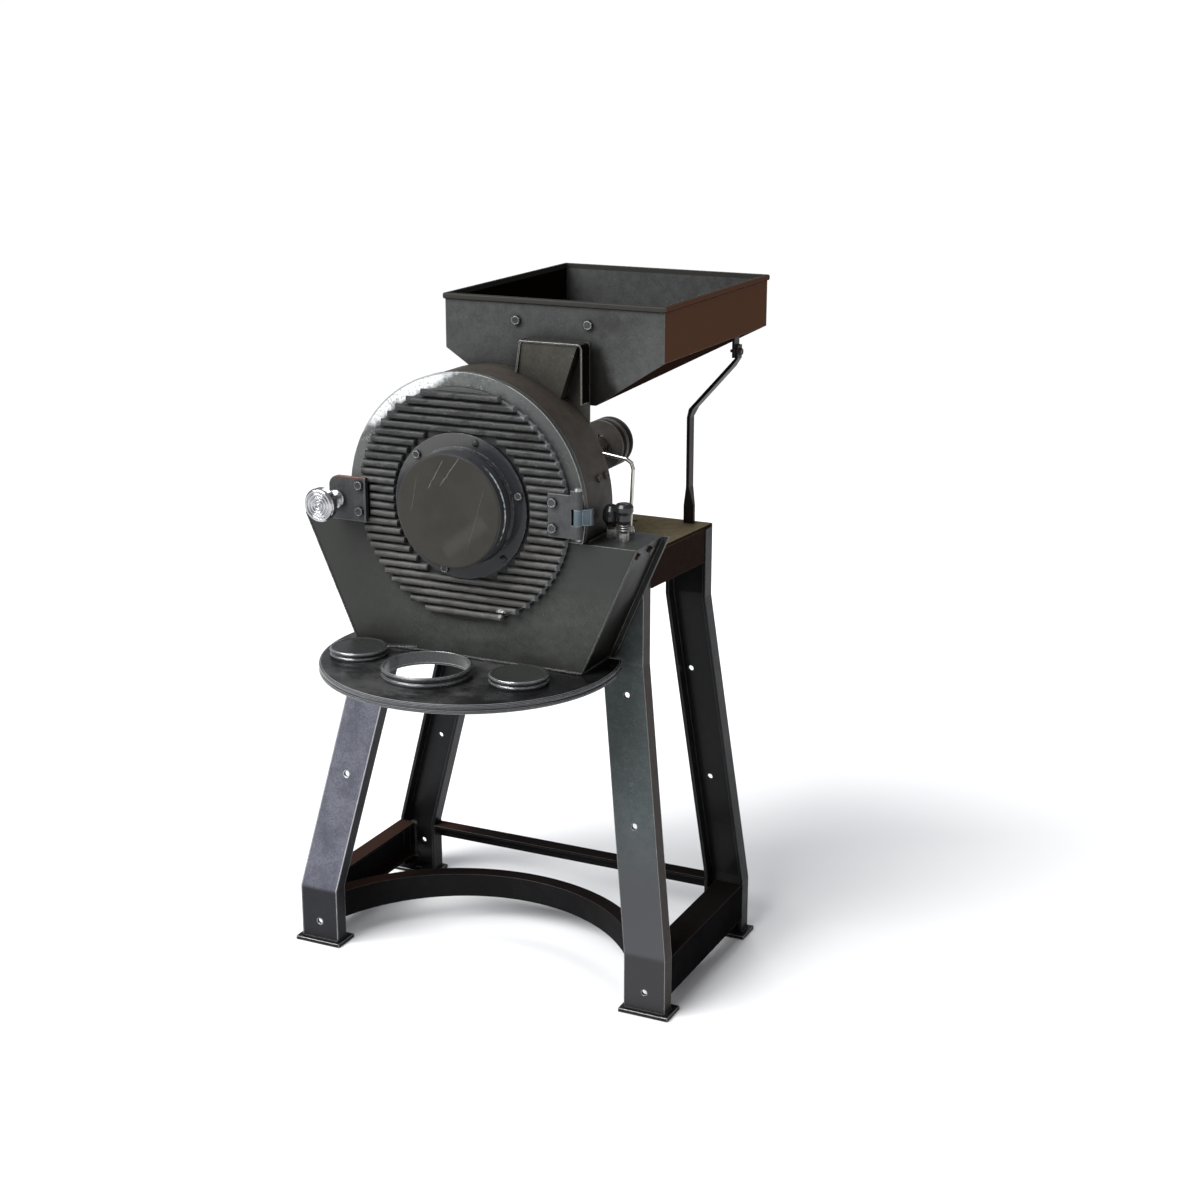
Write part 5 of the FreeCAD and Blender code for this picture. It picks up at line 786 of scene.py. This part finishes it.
# Painted dark reflection: the lid's right part is made darker.
lid_colour = lid_enamel.layered(lid_colour, (0.0035, 0.0035, 0.004),
                                lid_enamel.step(lid_x, 0.09, 0.17) * 0.9)
lid_colour = lid_enamel.layered(lid_colour, (0.034, 0.035, 0.037), lid_rim)
lid_colour = lid_enamel.layered(lid_colour, (0.16, 0.115, 0.075),
                                lid_rim * lid_enamel.step(0 - lid_x, 0.155, 0.200))
lid_colour = lid_enamel.layered(lid_colour, (0.40, 0.41, 0.42), lid_edge_highlight * 0.85)
lid_enamel.shade(Base_Color=lid_colour, Roughness=0.14 + dust * 0.26,
                 Coat_Weight=0.35 - lid_enamel.step(lid_x, 0.02, 0.14) * 0.35, Specular_IOR_Level=0.22,
                 Normal=lid_enamel.relief(dust + pools * 0.8 + lint * 0.12, 0.0004, lid_round))
coat(lid_enamel, "lid_black", "flour_lid")


def vent_shades(made, colour):
    """Vent enamel: dull grey on top of the caps, and painted shade on part of the inside of the open
    collar.
    """
    colour = made.layered(colour, (0.024, 0.026, 0.024), made.step(made.facing("Z"), 0.7, 0.95))
    collar_r = 0.0625
    x = made.along("X") + 0.012
    y = made.along("Y") + 0.276
    # Painted shade on part of the inner wall of the open collar.
    inside = made.step(collar_r * collar_r - (x * x + y * y), 0.0, 0.00002)
    return made.layered(colour, (0.022, 0.0225, 0.022), inside * made.step(x + y, 0.0, 0.07))


vent_enamel = worn_paint("grey_vent_enamel", (0.040, 0.042, 0.046), (0.026, 0.028, 0.031),
                         (0.52, 0.53, 0.54), wear=1.0, rough=0.24, round_off=0.0014, sheen=0.5,
                         coats=vent_shades)
coat(vent_enamel, "vent_grey", "vent_collar_open", "small_vent_collars", "vent_cap_left",
     "vent_cap_right")


# Hopper folded from thin sheet with a rolled rim, its feed gate, and the hood over the feed
# window. The front is painted dark grey, the right side brown darkened by painted shade, and the inside
# faces that look right and the underside are painted shade, near black.
def hopper_shades(made, colour):
    """Hopper paint: brown outer side partly painted shade, painted shade on inside faces that look right
    and underneath, and a painted shadow beside the hood.
    """
    x = made.along("X")
    z = made.along("Z")
    to_right = made.step(made.facing("X"), 0.3, 0.6)
    outer = made.step(x, 0.10, 0.12)
    # The outer right side is brown, darkened as painted shade.
    colour = made.layered(colour, (0.080, 0.040, 0.0255), to_right * outer)
    # Painted shade on inside faces that look right.
    colour = made.layered(colour, (0.0048, 0.0036, 0.0024), to_right * (1 - outer))
    # Painted shade underneath.
    colour = made.layered(colour, (0.0145, 0.0080, 0.0060), made.step(made.facing("Z") * -1.0, 0.2, 0.5))
    colour = made.layered(colour, (0.034, 0.033, 0.030),
                          made.step(z, 1.0325, 1.0335) * (1 - to_right * outer))
    cloud = made.noise(26.0, 5.0, 0.6)
    drift = (cloud - 0.5) * 0.03
    forward = made.step(made.facing("Y") * -1.0, 0.5, 0.9)
    # Painted shadow of the hood on the front beside it.
    hood_shadow = made.step(x, 0.148, 0.156) * (1 - made.step(x + (z - 0.93) * 0.4 + drift, 0.178, 0.202))
    hood_shadow = hood_shadow * (1 - made.step(z + drift, 0.965, 0.995)) * forward
    colour = made.layered(colour, (0.006, 0.0055, 0.005), hood_shadow * 0.92)
    across = x - (z - 0.96) * 0.8
    streak = made.step(across, 0.205, 0.150) * made.step(across, 0.08, 0.13)
    return made.layered(colour, (0.024, 0.0235, 0.022),
                        streak * forward * made.step(cloud, 0.42, 0.62) * 0.5)


hopper_paint = worn_paint("hopper_paint", (0.062, 0.064, 0.063), (0.050, 0.051, 0.049),
                          (0.26, 0.25, 0.22), wear=0.5, rough=0.40, sheen=0.0, coats=hopper_shades)
# The hood's faces that look right are near black, painted shade.
hood_paint = worn_paint("hood_paint", (0.050, 0.051, 0.046), (0.040, 0.040, 0.037), (0.44, 0.44, 0.42),
                        wear=1.0, rough=0.40, round_off=0.0016, sheen=0.0,
                        side_shade=(0.0035, 0.003, 0.0028))
coat(hopper_paint, "hopper_paint", "hopper_tray", "feed_gate")
coat(hood_paint, "hopper_paint", "hopper_hood")
hood_welds = Form()
weld(hood_welds, [(0.0535, -0.1055, 0.9835), (0.0535, -0.083, 0.9835)], 0.0016, chance)
weld(hood_welds, [(0.1375, -0.1052, 0.9655), (0.1375, -0.1062, 0.9655)], 0.0022, chance, sides=12)
hood_welds.piece("hood_weld_beads", weld_steel, "frame")
gate_bolts = Form()
gate_middle, gate_half, gate_bolt_height = 0.093, 0.0575, 1.008
for side in (-1, 1):
    bolt_x = gate_middle + side * gate_half
    hex_bolt(gate_bolts, (bolt_x, -0.079, gate_bolt_height), (0, -1, 0), 0.013, 0.0053, 0.0039, 0.0131)
    hex_bolt(gate_bolts, (bolt_x, -0.0739, gate_bolt_height), (0, 1, 0), 0.013, 0.0065, 0.0039, 0.0005)
gate_bolts.piece("ear_bolts", bolt_steel, "frame", sharp=32, replaces=("gate_bolts",))

# Flat bar with a quarter twist that props the hopper's back corner on the table. It is bolted
# to a lug under the rim, and painted black over brown.
strut_paint = worn_paint("strut_paint", (0.0105, 0.0080, 0.0080), (0.018, 0.012, 0.011),
                         (0.14, 0.10, 0.08), wear=0.5, rough=0.38, sheen=0.1)
coat(strut_paint, "frame_black", "hopper_strut", "hopper_lug")
small_bolts = Form()
hex_bolt(small_bolts, (0.2715, 0.200, 0.938), (1, 0, 0), 0.010, 0.004, 0.0024, 0.015)
side_lean = math.radians(23.66)
for side in (-1, 1):
    outward = (side * math.cos(side_lean), 0, -math.sin(side_lean))
    for y in (-0.165, -0.122):
        hex_bolt(small_bolts, (side * 0.2671, y, 0.703), outward, 0.010, 0.004, 0.0024, 0.0003)
for y in (-0.120, -0.096):
    hex_bolt(small_bolts, (0.1852, y, 0.797), (0.97278, 0, 0.23175), 0.010, 0.004, 0.0024, 0.0052)
small_bolts.piece("small_hex_bolts", brown_bolt, "frame", sharp=32, replaces=("small_bolts",))

# On the right ledge: a spring plunger and a turning knob. Their grips are moulded in glossy
# black plastic on steel spindles.
grip_black = Finish("black_grip", IOR=1.5)
grip_mark = grip_black.noise(90.0, 5.0)
grip_black.shade(Base_Color=grip_black.layered((0.008, 0.008, 0.009), (0.02, 0.02, 0.021), grip_mark),
                 Roughness=0.14 + grip_mark * 0.2)
coat(grip_black, "grip_black", "plunger_knob", "side_knob")

# Zinc plated bolts, nuts, pins and the plunger's spring, all bought parts. The plating has
# gone dull and blotched.
zinc = Finish("zinc_plate", Metallic=0.85)
bloom = zinc.noise(120.0, 6.0, 0.65)
zinc_round = zinc.rounding(0.0006)
zinc.shade(Base_Color=zinc.layered((0.42, 0.42, 0.41), (0.17, 0.165, 0.155), zinc.step(bloom, 0.4, 0.65)),
           Roughness=0.28 + bloom * 0.25, Normal=zinc.relief(bloom, 0.0002, zinc_round))
coat(zinc, "zinc", "housing_bolts", "body_bolts", "ledge_nuts", "plunger_stop", "rod_ferrule",
     "shaft_nuts", "pulley_key", "hinge_pin")

# Coil spring under the plunger's grip, wound from round wire. It is pressed together between
# its guide nut and the grip when the plunger goes down.
coil_low, coil_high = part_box("plunger_spring")
wire_r = 0.0012
coil_r = (coil_high[0] - coil_low[0]) / 2 - wire_r
coil_x, coil_y = (coil_low[0] + coil_high[0]) / 2, (coil_low[1] + coil_high[1]) / 2
turns, steps = 3, 32
climb = coil_high[2] - coil_low[2] - 2 * wire_r
rise = climb / (2 * math.pi * turns)
spring = Form()
rings = []
for i in range(turns * steps + 1):
    angle = 2 * math.pi * i / steps
    outward = Vector((math.cos(angle), math.sin(angle), 0))
    ahead = Vector((-math.sin(angle) * coil_r, math.cos(angle) * coil_r, rise)).normalized()
    lift = outward.cross(ahead)
    height = coil_low[2] + wire_r + climb * i / (turns * steps)
    middle = Vector((coil_x, coil_y, height)) + outward * coil_r
    rings.append([middle + (outward * math.cos(a) + lift * math.sin(a)) * wire_r
                  for a in (2 * math.pi * j / 10 for j in range(10))])
spring.rings(rings)
coil = spring.piece("plunger_coil", zinc, "frame", replaces=("plunger_spring",))
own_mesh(coil)
